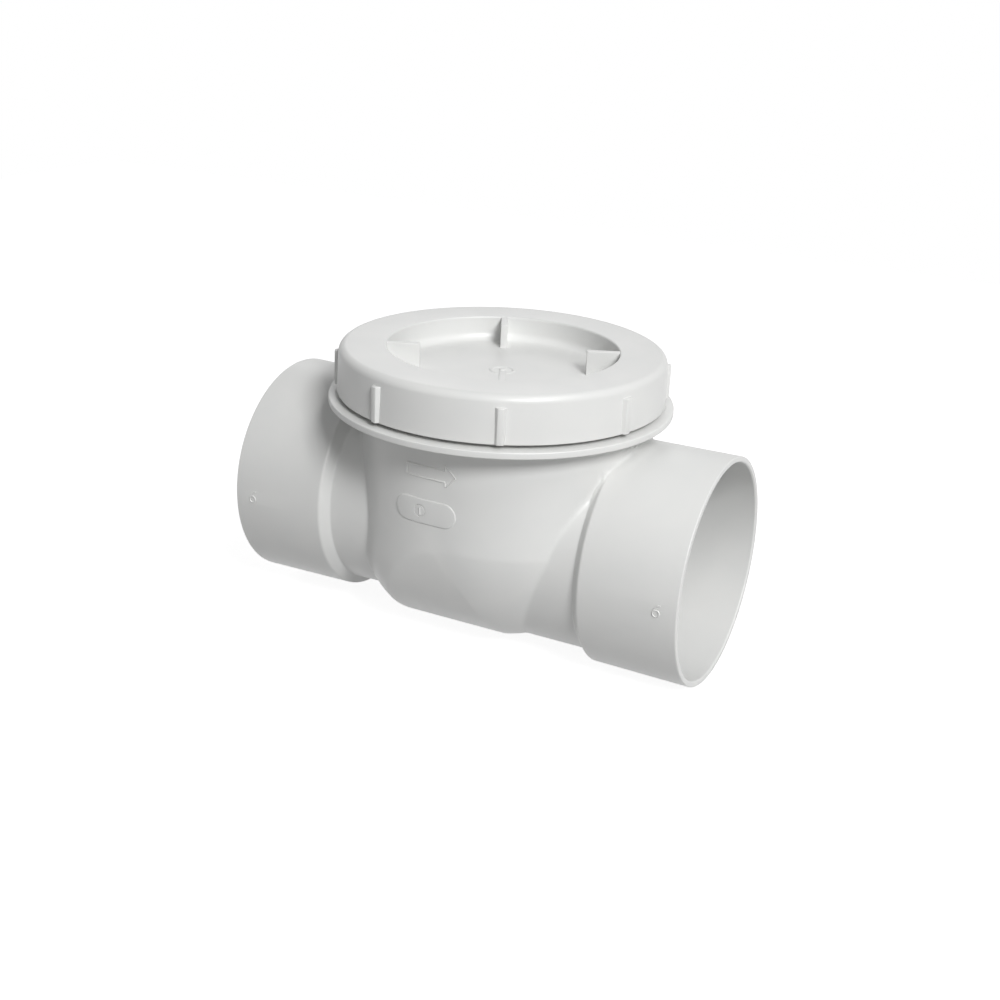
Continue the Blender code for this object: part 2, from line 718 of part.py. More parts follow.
def build_hinge_pin():
    """Steel pin along Y with a groove near each end for its clip."""
    groove_start = EAR_OUTER_Y + GAP / 2
    groove_end = groove_start + CLIP_THICKNESS + GAP
    root = PIN_RADIUS - CLIP_GROOVE_DEPTH
    half = [
        (root, groove_start),
        (root, groove_end),
        (PIN_RADIUS, groove_end),
        (PIN_RADIUS, PIN_HALF_LENGTH - CLIP_GROOVE_DEPTH / 2),
        (PIN_RADIUS - CLIP_GROOVE_DEPTH / 2, PIN_HALF_LENGTH),
        (0.0, PIN_HALF_LENGTH),
    ]
    upper = [(PIN_RADIUS, groove_start), *half]
    lower = [(r, -y) for r, y in reversed(upper)]
    frame = Matrix.Translation(PIN_CENTRE) @ ALONG_Y
    return finish("hinge_pin", turned("pin_turned", lower + upper, frame, SMALL_STEPS), STAINLESS)


def build_pin_clips():
    """A slotted retaining ring in each groove of the pin."""
    middle = EAR_OUTER_Y + GAP + CLIP_THICKNESS / 2
    bore = PIN_RADIUS - CLIP_GROOVE_DEPTH + GAP
    for name, side in (("pin_clip_left", -1), ("pin_clip_right", 1)):
        frame = Matrix.Translation(PIN_CENTRE + Vector((0.0, side * middle, 0.0))) @ ALONG_Y
        half = CLIP_THICKNESS / 2
        ring = turned(
            name + "_turned",
            [(CLIP_RADIUS, half), (CLIP_RADIUS, -half), (bore, -half), (bore, half)],
            frame, SMALL_STEPS,
        )
        slot = block(
            name + "_mouth", (-CLIP_MOUTH / 2, 0.0, -CLIP_THICKNESS),
            (CLIP_MOUTH / 2, 2 * CLIP_RADIUS, CLIP_THICKNESS), frame,
        )
        finish(name, cut(ring, slot), STAINLESS)


def screw_outline(shank, head, head_height, length):
    """Domed head standing on z = 0 and shank below it: the dome is a third of the head."""
    crown = head_height / 3
    slope = math.radians(45)
    return [
        (0.0, head_height),
        (head * math.sin(slope), head_height - crown * (1 - math.cos(slope))),
        (head, head_height - crown),
        (head, 0.0),
        (shank, 0.0),
        (shank, -length + shank / 2),
        (shank / 2, -length),
        (0.0, -length),
    ]


def build_bracket_screws():
    outline = screw_outline(
        BRACKET_SCREW_SHANK, BRACKET_SCREW_HEAD, BRACKET_SCREW_HEAD_HEIGHT,
        BRACKET_SCREW_LENGTH - GAP,
    )
    seat_z = PAD_TOP_Z + GAP + BRACKET_PLATE + GAP
    for name, (x, y) in zip(("bracket_screw_left", "bracket_screw_right"), bracket_screw_places()):
        frame = Matrix.Translation((x, y, seat_z))
        finish(name, turned(name + "_turned", outline, frame, SCREW_STEPS), STAINLESS)


def retainer_screw_frames():
    """Each frame's Z points upstream, out of the screw's head."""
    upstream = Matrix.Rotation(math.radians(-90), 4, "Y")
    for k in range(RETAINER_SCREW_COUNT):
        angle = math.tau * (k + 0.5) / RETAINER_SCREW_COUNT
        spot = Vector((0.0, math.sin(angle), math.cos(angle))) * RETAINER_SCREW_CIRCLE
        yield SEAT_PLACE @ Matrix.Translation(spot) @ upstream


def arm_outline():
    """Side view (n, z) about the pin: the eye, and the rib that runs down the disc's back."""
    back = DISC_BACK - PIN_AHEAD_OF_SEAT
    sunk = back - DISC_THICKNESS / 2
    disc_top = DISC_RADIUS - PIN_ABOVE_SEAT
    rib_reach = DISC_RADIUS - RIB_TO_EDGE
    rib_foot = -PIN_ABOVE_SEAT - rib_reach
    eye = arc((0.0, 0.0), EYE_RADIUS, 0, 250, 16)
    return [
        *eye,
        (sunk, disc_top - DISC_EDGE),
        (sunk, rib_foot),
        (back + RIB_END_HEIGHT, rib_foot),
        (back + RIB_HEIGHT, -PIN_ABOVE_SEAT + rib_reach),
    ]


def build_flapper(carrier):
    """Round plate with two ribbed arms on its back and a boss that centres the gasket."""
    edge = DISC_EDGE
    outline = [
        (0.0, DISC_BACK),
        (DISC_RADIUS - edge, DISC_BACK),
        (DISC_RADIUS, DISC_BACK - edge),
        (DISC_RADIUS, DISC_FACE),
        (BOSS_RADIUS, DISC_FACE),
        (BOSS_RADIUS, GASKET_FACE),
        (0.0, GASKET_FACE),
    ]
    disc = turned("disc_turned", outline, SEAT_PLACE @ ALONG_X, RING_STEPS)
    pin_frame = Matrix.Translation(PIN_CENTRE) @ SEAT_TURN
    upright = Matrix.Rotation(math.radians(90), 4, "X")
    for side in (-1, 1):
        middle = side * (ARM_INNER_Y + ARM_THICKNESS / 2)
        frame = pin_frame @ Matrix.Translation((0.0, middle, 0.0)) @ upright
        join(disc, flat_plate(f"arm_{side}", arm_outline(), ARM_THICKNESS, frame))
    cross_reach = DISC_RADIUS - CROSS_RIB_TO_EDGE
    cross = block(
        "cross_rib",
        (DISC_BACK - DISC_THICKNESS / 2, -cross_reach, -CROSS_RIB_THICKNESS / 2),
        (DISC_BACK + RIB_END_HEIGHT, cross_reach, CROSS_RIB_THICKNESS / 2),
        SEAT_PLACE,
    )
    join(disc, cross)
    reach = ARM_INNER_Y + ARM_THICKNESS + CUT_OVERRUN
    cut(disc, rod("arm_bore", PIN_RADIUS + RUNNING_GAP, -reach, reach, pin_frame @ ALONG_Y))
    bottom = RETAINER_THICKNESS - RETAINER_SCREW_LENGTH
    for k, frame in enumerate(retainer_screw_frames()):
        hole = rod(
            f"disc_hole_{k + 1}", RETAINER_SCREW_SHANK + GAP, bottom - GAP, CUT_OVERRUN, frame,
            SCREW_STEPS,
        )
        cut(disc, hole)
    return finish("flapper_disc", disc, GREY_PVC, carrier)


def build_gasket(carrier):
    """Flat rubber ring that meets the seat."""
    far = GASKET_FACE + GASKET_THICKNESS
    outline = [
        (DISC_RADIUS - DISC_EDGE, far),
        (DISC_RADIUS - DISC_EDGE, GASKET_FACE),
        (GASKET_BORE_RADIUS, GASKET_FACE),
        (GASKET_BORE_RADIUS, far),
    ]
    ring = turned("gasket_turned", outline, SEAT_PLACE @ ALONG_X, RING_STEPS)
    return finish("flapper_gasket", ring, BLACK_RUBBER, carrier)


def build_retainer(carrier):
    """Plate that clamps the gasket's inner edge to the flapper."""
    edge = DISC_EDGE / 2
    outline = [
        (0.0, 0.0),
        (RETAINER_RADIUS, 0.0),
        (RETAINER_RADIUS, -RETAINER_THICKNESS + edge),
        (RETAINER_RADIUS - edge, -RETAINER_THICKNESS),
        (0.0, -RETAINER_THICKNESS),
    ]
    plate = turned("retainer_turned", outline, SEAT_PLACE @ ALONG_X, RING_STEPS)
    for k, frame in enumerate(retainer_screw_frames()):
        hole = rod(
            f"retainer_hole_{k + 1}", RETAINER_SCREW_SHANK + GAP, -CUT_OVERRUN,
            RETAINER_THICKNESS + CUT_OVERRUN, frame, SCREW_STEPS,
        )
        cut(plate, hole)
    return finish("gasket_retainer", plate, GREY_PVC, carrier)


def build_retainer_screws(carrier):
    outline = screw_outline(
        RETAINER_SCREW_SHANK, RETAINER_SCREW_HEAD, RETAINER_SCREW_HEAD_HEIGHT,
        RETAINER_SCREW_LENGTH,
    )
    head_seat = Matrix.Translation((0.0, 0.0, RETAINER_THICKNESS + GAP))
    for k, frame in enumerate(retainer_screw_frames()):
        name = f"retainer_screw_{k + 1}"
        screw = turned(name + "_turned", outline, frame @ head_seat, SCREW_STEPS)
        finish(name, screw, STAINLESS, carrier)


clear_scene()
VALVE = new_collection("backwater_valve")
CUTTERS = new_collection("cutters")

build_valve_body()
build_seat_ring()
build_hinge_bracket()
build_hinge_pin()
build_pin_clips()
build_bracket_screws()

flapper_pivot = pivot("flapper_pivot", Matrix.Translation(PIN_CENTRE) @ SEAT_TURN)
build_flapper(flapper_pivot)
build_gasket(flapper_pivot)
build_retainer(flapper_pivot)
build_retainer_screws(flapper_pivot)

cap_pivot = pivot("cap_pivot", turned_about_cap(0.0))
build_cap_seal(cap_pivot)
build_access_cap(cap_pivot)
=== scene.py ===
"""Looks of a six inch backwater valve: moulded PVC housing, screwed access cap, seat and flapper.

Every length is in metres. X runs with the water from the inlet's mouth, Z points up through
the access cap, and the origin is the middle of the inlet's mouth.
"""

import math

import bmesh
import bpy
import numpy as np
from bpy.props import FloatProperty, FloatVectorProperty, IntProperty, PointerProperty
from bpy.types import Operator, Panel, PropertyGroup
from mathutils import Matrix, Vector


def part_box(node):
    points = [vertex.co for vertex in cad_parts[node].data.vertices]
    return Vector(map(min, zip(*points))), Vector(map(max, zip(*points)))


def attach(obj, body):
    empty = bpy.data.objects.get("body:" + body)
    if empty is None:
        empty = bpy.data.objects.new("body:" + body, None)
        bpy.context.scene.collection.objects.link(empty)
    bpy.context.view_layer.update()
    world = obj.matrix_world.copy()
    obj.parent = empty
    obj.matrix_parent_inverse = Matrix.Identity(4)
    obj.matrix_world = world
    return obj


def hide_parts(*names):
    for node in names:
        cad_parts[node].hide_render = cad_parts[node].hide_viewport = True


bl_info = {
    "name": "Backwater valve",
    "version": (1, 0, 0),
    "blender": (4, 5, 0),
    "location": "View3D > Sidebar > Valve",
    "description": "Builds the pieces of a plastic backwater valve and their finishes",
    "category": "Object",
}

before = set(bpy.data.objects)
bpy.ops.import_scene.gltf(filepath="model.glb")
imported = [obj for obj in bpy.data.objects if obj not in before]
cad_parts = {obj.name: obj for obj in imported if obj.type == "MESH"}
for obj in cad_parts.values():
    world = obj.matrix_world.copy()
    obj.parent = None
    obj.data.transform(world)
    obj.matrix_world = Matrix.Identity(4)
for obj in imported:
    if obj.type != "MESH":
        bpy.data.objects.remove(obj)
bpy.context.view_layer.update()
BODY_LOW, BODY_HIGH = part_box("valve_body")
CAP_LOW, CAP_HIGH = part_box("access_cap")
SEAL_LOW, SEAL_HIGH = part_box("cap_o_ring")
BODY_LENGTH = BODY_HIGH.x - BODY_LOW.x
CAP_AXIS_X = (CAP_LOW.x + CAP_HIGH.x) / 2
LOOKED_AT = Vector((0.181450, 0.002967, 0.005117))
LAMPS_AIM = Vector((CAP_AXIS_X, 0.0, 0.0))
# How far a cutting mesh reaches past the face that it cuts.
OVERRUN = 0.005
# Space between the last row of one outline and the first of the next.
HAIR = 0.0001
# Offset that keeps two faces from lying in one plane.
APART = 0.0003
WELD = 1e-7
STEP_RUN = 1e-6
TINY = 1e-12
# The housing's sections across X: the first, the last and how many, closest where the barrels
# meet the chamber.
OUTER_SECTIONS = ((0.072, 0.128, 57), (0.130, 0.250, 81), (0.251, 0.298, 48))
INNER_SECTIONS = ((0.080, 0.296, 109),)
NEAREST_SECTIONS = 2e-6
OUTER_RAYS = 240
INNER_RAYS = 120
BISECTIONS = 26
# Share of the blend from heel to ball that lies before the cap's axis.
BLEND_BEFORE = 0.7
ROUND_STEPS = 200
CAP_STEPS = 240
SCREW_STEPS = 48
PIN_STEPS = 72
SHARP_EDGE = math.radians(32.0)
ALONG_X = Matrix.Rotation(math.pi / 2, 4, "Y")
ALONG_Y = Matrix.Rotation(-math.pi / 2, 4, "X")
UPRIGHT = Matrix.Rotation(math.pi / 2, 4, "X")
UPSTREAM = Matrix.Rotation(-math.pi / 2, 4, "Y")


def length(label, says, default):
    """A length in metres that the sidebar shows."""
    return FloatProperty(
        name=label, description=says, default=default, min=0.0, unit="LENGTH", precision=4
    )


def angle(label, says, default):
    """An angle, given here in degrees, that the sidebar shows."""
    return FloatProperty(
        name=label, description=says, default=math.radians(default), subtype="ANGLE"
    )


def count(label, says, default):
    """A whole number that the sidebar shows."""
    return IntProperty(name=label, description=says, default=default, min=1)


def power(label, says, default):
    """A lamp's power in watts that the sidebar shows."""
    return FloatProperty(name=label, description=says, default=default, min=0.0, unit="POWER")


def linear(code):
    """Linear colour of an sRGB hex code, as shaders want it."""
    values = [int(code[k:k + 2], 16) / 255 for k in (1, 3, 5)]
    return [v / 12.92 if v <= 0.04045 else ((v + 0.055) / 1.055) ** 2.4 for v in values]


def colour(label, says, code):
    """A colour, given here as an sRGB hex code, that the sidebar shows."""
    return FloatVectorProperty(
        name=label, description=says, default=linear(code), min=0.0, max=1.0, subtype="COLOR"
    )


class ValveHousingSizes(PropertyGroup):
    socket_radius: length("Socket radius", "Inside radius of both pipe sockets", 0.0800)
    socket_depth: length("Socket depth", "From the mouth to the pipe stop", 0.070)
    hub_radius: length("Hub radius", "Outside radius of a hub at its mouth", 0.0846)
    hub_length: length("Hub length", "From the mouth to the hub's shoulder", 0.074)
    hub_shoulder: length("Hub shoulder", "Length of the slope from hub to barrel", 0.006)
    hub_draft: length("Hub draft", "Narrowing of the hub for each metre of its length", 0.011)
    rim_rounding: length("Rim rounding", "Radius of the mouth's edges", 0.0009)
    barrel_radius: length("Barrel radius", "Outside radius between hub and chamber", 0.0770)
    wall: length("Wall", "Thickness of the barrels and the chamber", 0.0047)
    outlet_drop: length("Outlet drop", "How far the outlet's axis lies under the inlet's", 0.0103)
    chamber_radius: length("Chamber radius", "Radius of the chamber seen from above", 0.1018)
    chamber_centre: length("Chamber centre", "Height from which its depth is counted", 0.0122)
    chamber_stretch: length("Chamber stretch", "Straight run between both ends", 0.012)
    heel_run: length("Heel run", "How far the heel reaches in from the inlet end", 0.079)
    heel_rise: length("Heel rise", "How far the heel reaches up from the floor", 0.074)
    ball_run: length("Ball run", "How far the outlet end's bend reaches in", 0.092)
    ball_rise: length("Ball rise", "How far the outlet end's bend reaches up", 0.108)
    ball_over: length("Ball overhang", "How far the bend's ellipse would pass the wall", 0.001)
    blend: length("Blend", "Length over which the heel's bend turns into the ball's", 0.050)
    trough_half: length("Trough half width", "Half width of the trough's ellipse", 0.1035)
    trough_rise: length("Trough rise", "Half height of the trough's ellipse", 0.1080)
    trough_edge: length("Trough edge", "Radius of the soft edges round the trough", 0.011)
    fillet: length("Fillet", "Radius between the barrels and the chamber", 0.003)
    flange_radius: length("Flange radius", "Outside radius of the flange", 0.1273)
    flange_bottom: length("Flange underside", "Height of the flange's underside", 0.0847)
    flange_thickness: length("Flange thickness", "Thickness of the flange", 0.0049)
    flange_edge: length("Flange edge", "Radius of the flange's edges", 0.0009)
    ledge: length("Ledge", "From the flange's underside to the ledge in the neck", 0.0033)
    neck_radius: length("Neck radius", "Radius of the neck under its thread", 0.1135)
    neck_wall: length("Neck wall", "Thickness of the neck", 0.0085)
    neck_foot: length("Neck foot", "Radius between the neck and the flange", 0.0008)
    neck_edge: length("Neck edge", "Radius of the neck's top edge", 0.0007)
    neck_top: length("Neck top", "Height of the neck's top face", 0.1199)
    groove_floor: length("Groove floor", "Height of the floor of the seal's groove", 0.1156)
    groove_width: length("Groove width", "Width of the seal's groove", 0.0059)
    groove_foot: length("Groove foot", "Radius at the bottom of that groove", 0.0006)
    ledge_foot: length("Ledge foot", "Radius between the ledge and the neck's bore", 0.001)
    web_length: length("Web length", "Length of the web from the inlet hub to the flange", 0.022)
    web_width: length("Web width", "Width of that web", 0.030)
    web_edge: length("Web edge", "Radius of the web's edges", 0.001)


class ValveMarkSizes(PropertyGroup):
    stroke: length("Stroke", "Width of a raised stroke", 0.0011)
    height: length("Height", "How far a stroke stands out", 0.0007)
    plate_place: length("Plate place", "From the cap's axis back to its middle", 0.0055)
    plate_level: length("Plate level", "Height of the plate's middle", 0.0296)
    plate_length: length("Plate length", "Length of the rounded plate", 0.0500)
    plate_width: length("Plate width", "Width of the rounded plate", 0.0185)
    plate_height: length("Plate height", "How far the plate stands out", 0.0008)
    plate_slope: length("Plate slope", "Width of the slope round the plate", 0.0009)
    date_radius: length("Date ring", "Radius of the mould maker's date insert", 0.0043)
    date_place: length("Date ring place", "How far it lies before the plate's middle", 0.0035)
    date_hand: length("Date hand", "Half length of the bar in the date ring", 0.002666)
    arrow_level: length("Arrow level", "Height of the flow arrow", 0.0590)
    arrow_tail: length("Arrow tail", "From the plate's middle back to the arrow's tail", 0.016)
    arrow_tip: length("Arrow tip", "From the plate's middle on to the arrow's tip", 0.024)
    arrow_half: length("Arrow half width", "Half width of the arrow's shaft", 0.0042)
    arrow_barb: length("Arrow barb", "Length and half width of the arrow's head", 0.0082)
    numeral: length("Numeral", "Height of the pipe size's numeral on each hub", 0.0092)
    numeral_place: length("Numeral place", "From a hub's mouth to its numeral", 0.0150)


class ValveThreadSizes(PropertyGroup):
    pitch: length("Pitch", "Rise of the thread for one turn", 0.00635)
    ridge: length("Neck ridge", "Height of the neck's thread over the neck", 0.0018)
    cap_ridge: length("Cap ridge", "Height of the cap's thread inside its skirt", 0.0016)
    base: length("Ridge base", "Width of a ridge at its foot", 0.0030)
    crest: length("Ridge crest", "Width of a ridge at its top", 0.0012)
    run_out: length("Run-out", "Height over which the thread fades at its ends", 0.0022)
    neck_start: length("Neck start", "Plain height of the neck under its thread", 0.0022)
    neck_end: length("Neck end", "Plain height of the neck over its thread", 0.0012)
    cap_start: length("Skirt start", "Plain height of the skirt under its thread", 0.0014)
    cap_end: length("Skirt end", "Plain height of the skirt over its thread", 0.0030)
    row: length("Row", "Height between two rows of the thread's corners", 0.0004)


class ValveCapSizes(PropertyGroup):
    skirt_radius: length("Skirt radius", "Outside radius at the skirt's lower edge", 0.1210)
    skirt_wall: length("Skirt wall", "Thickness of the skirt", 0.0045)
    skirt_bottom: length("Skirt underside", "Height of the skirt's lower edge", 0.0926)
    skirt_edge: length("Skirt edge", "Radius of the skirt's outer lower edge", 0.0006)
    skirt_bevel: length("Skirt bevel", "Radius of the skirt's inner lower edge", 0.0008)
    top: length("Top", "Height of the cap's top face", 0.1270)
    plate: length("Plate", "Thickness of the ring round the recess", 0.0055)
    plate_foot: length("Plate foot", "Radius between that ring and the skirt's inside", 0.0015)
    cup_foot: length("Cup foot", "Radius between that ring and the recess's outside", 0.0020)
    taper: length("Taper", "How much narrower the skirt is at its top", 0.0010)
    shoulder: length("Shoulder", "Radius of the top's outer edge", 0.0060)
    recess_radius: length("Recess radius", "Radius of the dished middle", 0.0850)
    recess_depth: length("Recess depth", "Depth of the dished middle", 0.0185)
    recess_wall: length("Recess wall", "Thickness of the recess's wall and floor", 0.0045)
    recess_foot: length("Recess foot", "Radius between the recess's wall and floor", 0.0065)
    recess_lip: length("Recess lip", "Radius of the recess's upper edge", 0.0015)
    clock: angle("Clock", "How far the fins and grips are turned about the axis", 26.5)
    fins: count("Fins", "Number of fins that a bar turns the cap by", 4)
    fin_length: length("Fin length", "Length of a fin from the recess's wall", 0.024)
    fin_thickness: length("Fin thickness", "Thickness of a fin", 0.0052)
    fin_drop: length("Fin drop", "How far a fin's top lies under the cap's top", 0.0006)
    fin_rounding: length("Fin rounding", "Radius of a fin's edges", 0.0006)
    grips: count("Grips", "Number of grip ribs on the skirt", 8)
    grip_width: length("Grip width", "Width of a grip rib at its foot", 0.0070)
    grip_crest: length("Grip crest", "Width of a grip rib at its crest", 0.0042)
    grip_height: length("Grip height", "How far a grip rib stands out", 0.0024)
    grip_drop: length("Grip drop", "From the cap's top to the grip's top", 0.0085)
    grip_rounding: length("Grip rounding", "Radius of a grip's edges", 0.0005)
    grip_lift: length("Grip lift", "From the skirt's lower edge to the grip's foot", 0.0003)
    gate_radius: length("Gate radius", "Radius of the ring round the moulding gate", 0.0085)
    gate_height: length("Gate height", "Height of that ring over the recess's floor", 0.0006)
    gate_foot: length("Gate foot", "Half width of that ring at its foot", 0.0016)
    gate_crest: length("Gate crest", "Half width of that ring at its crest", 0.0006)
    gate_edge: length("Gate edge", "Radius of that ring's edges", 0.0005)
    gate_pip: length("Gate pip", "Radius of the pip that is left where the gate was cut", 0.0022)
    pip_edge: length("Pip edge", "Radius of the pip's edge", 0.0006)
    pip_slope: length("Pip slope", "How much wider the pip is at its foot", 0.0004)


class ValveInnerSizes(PropertyGroup):
    gap: length("Gap", "Space between pieces that are fixed together", 0.0003)
    edge: length("Edge", "Radius of the moulded pieces' edges", 0.0008)
    seat_start: length("Seat start", "From the inlet's mouth to the seat ring", 0.0720)
    seat_place: length("Seat place", "From the inlet's mouth to the seat's middle", 0.12598)
    seat_tilt: angle("Seat tilt", "How far the seat leans", 8.0)
    seat_radius: length("Seat radius", "Outside radius of the seat ring", 0.0720)
    seat_bore: length("Seat bore", "Inside radius of the seat ring", 0.0675)
    seat_edge: length("Seat edge", "Radius of the seat ring's outer edges", 0.0012)
    lead_in: length("Lead-in", "Bevel and softening of the seat ring's mouth", 0.0010)
    pad_back: length("Pad start", "From the inlet's mouth to the seat ring's pad", 0.0900)
    pad_length: length("Pad length", "Length of the pad that takes the hinge", 0.0220)
    pad_width: length("Pad width", "Width of that pad", 0.0620)
    pad_top: length("Pad top", "Height of that pad's face", 0.0761)
    plate: length("Bracket plate", "Thickness of the hinge bracket's plate", 0.0040)
    plate_inset: length("Plate inset", "From the pad's ends to the plate's", 0.0010)
    ear_edge: length("Ear edge", "Radius at the foot of an ear's slope", 0.0020)
    ear_inner: length("Ear place", "From the valve's middle to the inside of an ear", 0.0230)
    ear_thickness: length("Ear thickness", "Thickness of an ear", 0.0060)
    eye: length("Eye", "Radius of the eyes round the pin", 0.0080)
    pin: length("Pin", "Radius of the hinge pin", 0.0040)
    pin_half: length("Pin half length", "Half length of the hinge pin", 0.0336)
    pin_height: length("Pin height", "From the seat's middle up to the pin", 0.0860)
    pin_ahead: length("Pin ahead", "From the seat's plane on to the pin", 0.0070)
    running: length("Running gap", "Space between the pin and the arms' eyes", 0.0005)
    clip: length("Clip", "Thickness of a retaining ring", 0.0010)
    clip_rim: length("Clip rim", "How far a retaining ring stands out of the pin", 0.0025)
    clip_groove: length("Clip groove", "Depth of its groove in the pin", 0.0010)
    clip_mouth: length("Clip mouth", "Width of its slot", 0.0040)
    disc: length("Disc radius", "Radius of the flapper's disc", 0.0760)
    disc_thickness: length("Disc thickness", "Thickness of the disc", 0.0060)
    disc_edge: length("Disc edge", "Radius of the disc's edge away from the seat", 0.0018)
    arm_inner: length("Arm place", "From the valve's middle to the inside of an arm", 0.0120)
    arm_thickness: length("Arm thickness", "Thickness of an arm", 0.0100)
    rib: length("Rib", "Height of an arm's rib over the disc", 0.0060)
    rib_end: length("Rib end", "Height of the ribs at their ends", 0.0035)
    rib_inset: length("Rib inset", "From the disc's rim to the end of an arm's rib", 0.030)
    rib_crook: length("Rib crook", "Radius between an arm's eye and its rib", 0.020)
    rib_tip: length("Rib tip", "Radius at a rib's end", 0.0015)
    cross_rib: length("Cross rib", "Thickness of the rib across the disc", 0.0050)
    cross_inset: length("Cross inset", "From the disc's rim to the end of that rib", 0.016)
    gasket: length("Gasket", "Thickness of the gasket", 0.0035)
    gasket_bore: length("Gasket bore", "Inside radius of the gasket", 0.0560)
    rim_inset: length("Rim inset", "From the disc's rim to the gasket's and an arm's root", 0.0012)
    retainer: length("Retainer radius", "Radius of the plate that clamps the gasket", 0.0630)
    retainer_thickness: length("Retainer thickness", "Thickness of that plate", 0.0030)
    screws: count("Screws", "Number of screws through the retainer", 6)
    screw_circle: length("Screw circle", "Radius of the circle that they lie on", 0.0480)
    clamp_shank: length("Clamp shank", "Radius of such a screw's shank", 0.0020)
    clamp_head: length("Clamp head", "Radius of its head", 0.0042)
    clamp_height: length("Clamp head height", "Height of its head", 0.0025)
    clamp_length: length("Clamp length", "Length of its shank", 0.0100)
    pan_inset: length("Bracket screw place", "From an ear's inside to the screw beside it", 0.0100)
    pan_shank: length("Bracket shank", "Radius of a bracket screw's shank", 0.0025)
    pan_head: length("Bracket head", "Radius of its head", 0.0048)
    pan_height: length("Bracket head height", "Height of its head", 0.0030)
    pan_length: length("Bracket length", "Length of its shank", 0.0112)
    pan_hole: length("Bracket hole", "Depth of the hole for it", 0.0118)


class ValveFinishes(PropertyGroup):
    white: colour("White PVC", "Colour of the housing and the cap", "#E2E2E0")
    white_flow: colour("White flow marks", "Colour of their faint flow marks", "#DBDCDB")
    grey: colour("Grey PVC", "Colour of the seat and the flapper", "#C3C6C8")
    grey_flow: colour("Grey flow marks", "Colour of their faint flow marks", "#B9BCBF")
    rubber: colour("Rubber", "Colour of the seal and the gasket", "#242426")
    steel: colour("Stainless steel", "Colour of the pin, clips and screws", "#C9C7C2")


class ValveStageSizes(PropertyGroup):
    azimuth: angle("Azimuth", "Where the camera stands round the valve", 26.238)
    elevation: angle("Elevation", "How high the camera stands", 21.540)
    roll: angle("Roll", "How far the camera leans", 2.699)
    distance: length("Distance", "From the camera to the valve's middle", 1.130597)
    focal: FloatProperty(name="Lens", description="Focal length", default=53.4019, unit="CAMERA")
    floor: colour("Floor", "Colour of the floor", "#B4B4B4")
    floor_half: length("Floor half size", "Half the side of the floor", 1.5)
    lift: FloatProperty(
        name="Floor lift", description="How much whiter the camera sees the floor", default=0.9
    )
    lamp_distance: length("Lamp distance", "From each lamp to the valve's middle", 3.0)
    key_azimuth: angle("Key azimuth", "Where the key lamp stands round the valve", 48.0)
    key_elevation: angle("Key elevation", "How high the key lamp stands", 37.0)
    key_size: length("Key size", "Side of the key lamp", 0.8)
    key_power: power("Key power", "Power of the key lamp", 61.0)
    top_azimuth: angle("Top azimuth", "Where the top lamp stands round the valve", 75.0)
    top_elevation: angle("Top elevation", "How high the top lamp stands", 60.0)
    top_size: length("Top size", "Side of the top lamp", 1.0)
    top_power: power("Top power", "Power of the top lamp", 18.0)
    back_azimuth: angle("Back azimuth", "Where the back lamp stands round the valve", -150.0)
    back_elevation: angle("Back elevation", "How high the back lamp stands", 30.0)
    back_size: length("Back size", "Side of the back lamp", 1.2)
    back_power: power("Back power", "Power of the back lamp", 4.0)
    ambient: FloatProperty(
        name="Ambient", description="Strength of the light from all round", default=0.20
    )


def grid_faces(rows, columns, close_rows, close_columns):
    """Corner numbers of a grid's cells; a closed direction joins its last line to its first."""
    i = np.arange(rows if close_rows else rows - 1)
    j = np.arange(columns if close_columns else columns - 1)
    i, j = np.meshgrid(i, j, indexing="ij")
    over = (i + 1) % rows
    beside = (j + 1) % columns
    corners = [i * columns + j, i * columns + beside, over * columns + beside, over * columns + j]
    return np.stack(corners, axis=-1).reshape(-1, 4)


def eased(share):
    """Smooth step 3 s^2 - 2 s^3, with s held between 0 and 1."""
    share = np.clip(share, 0.0, 1.0)
    return share**2 * (3 - 2 * share)


def enclosed_volume(points, faces):
    """Volume inside closed faces: a sixth of the sum of a . (b x c) over their triangles."""
    a, b, c, d = (points[faces[:, k]] for k in range(4))
    first = np.einsum("ij,ij->i", a, np.cross(b, c))
    second = np.einsum("ij,ij->i", a, np.cross(c, d))
    return (first.sum() + second.sum()) / 6


def surface(name, points, close_rows=False, close_columns=True, matrix=None):
    """Mesh over a grid of points (rows, columns, 3), facing outwards, with its poles closed."""
    rows, columns = points.shape[:2]
    flat = points.reshape(-1, 3)
    if matrix is not None:
        turn = np.array(matrix)
        flat = flat @ turn[:3, :3].T + turn[:3, 3]
    faces = grid_faces(rows, columns, close_rows, close_columns)
    if enclosed_volume(flat, faces) < 0:
        faces = faces[:, ::-1]
    mesh = bpy.data.meshes.new(name)
    mesh.vertices.add(len(flat))
    mesh.vertices.foreach_set("co", flat.astype(np.float32).ravel())
    mesh.loops.add(faces.size)
    mesh.loops.foreach_set("vertex_index", faces.astype(np.int32).ravel())
    mesh.polygons.add(len(faces))
    mesh.polygons.foreach_set("loop_start", np.arange(0, faces.size, 4, dtype=np.int32))
    mesh.update(calc_edges=True)
    form = bmesh.new()
    form.from_mesh(mesh)
    bmesh.ops.remove_doubles(form, verts=form.verts, dist=WELD)
    form.to_mesh(mesh)
    form.free()
    return mesh


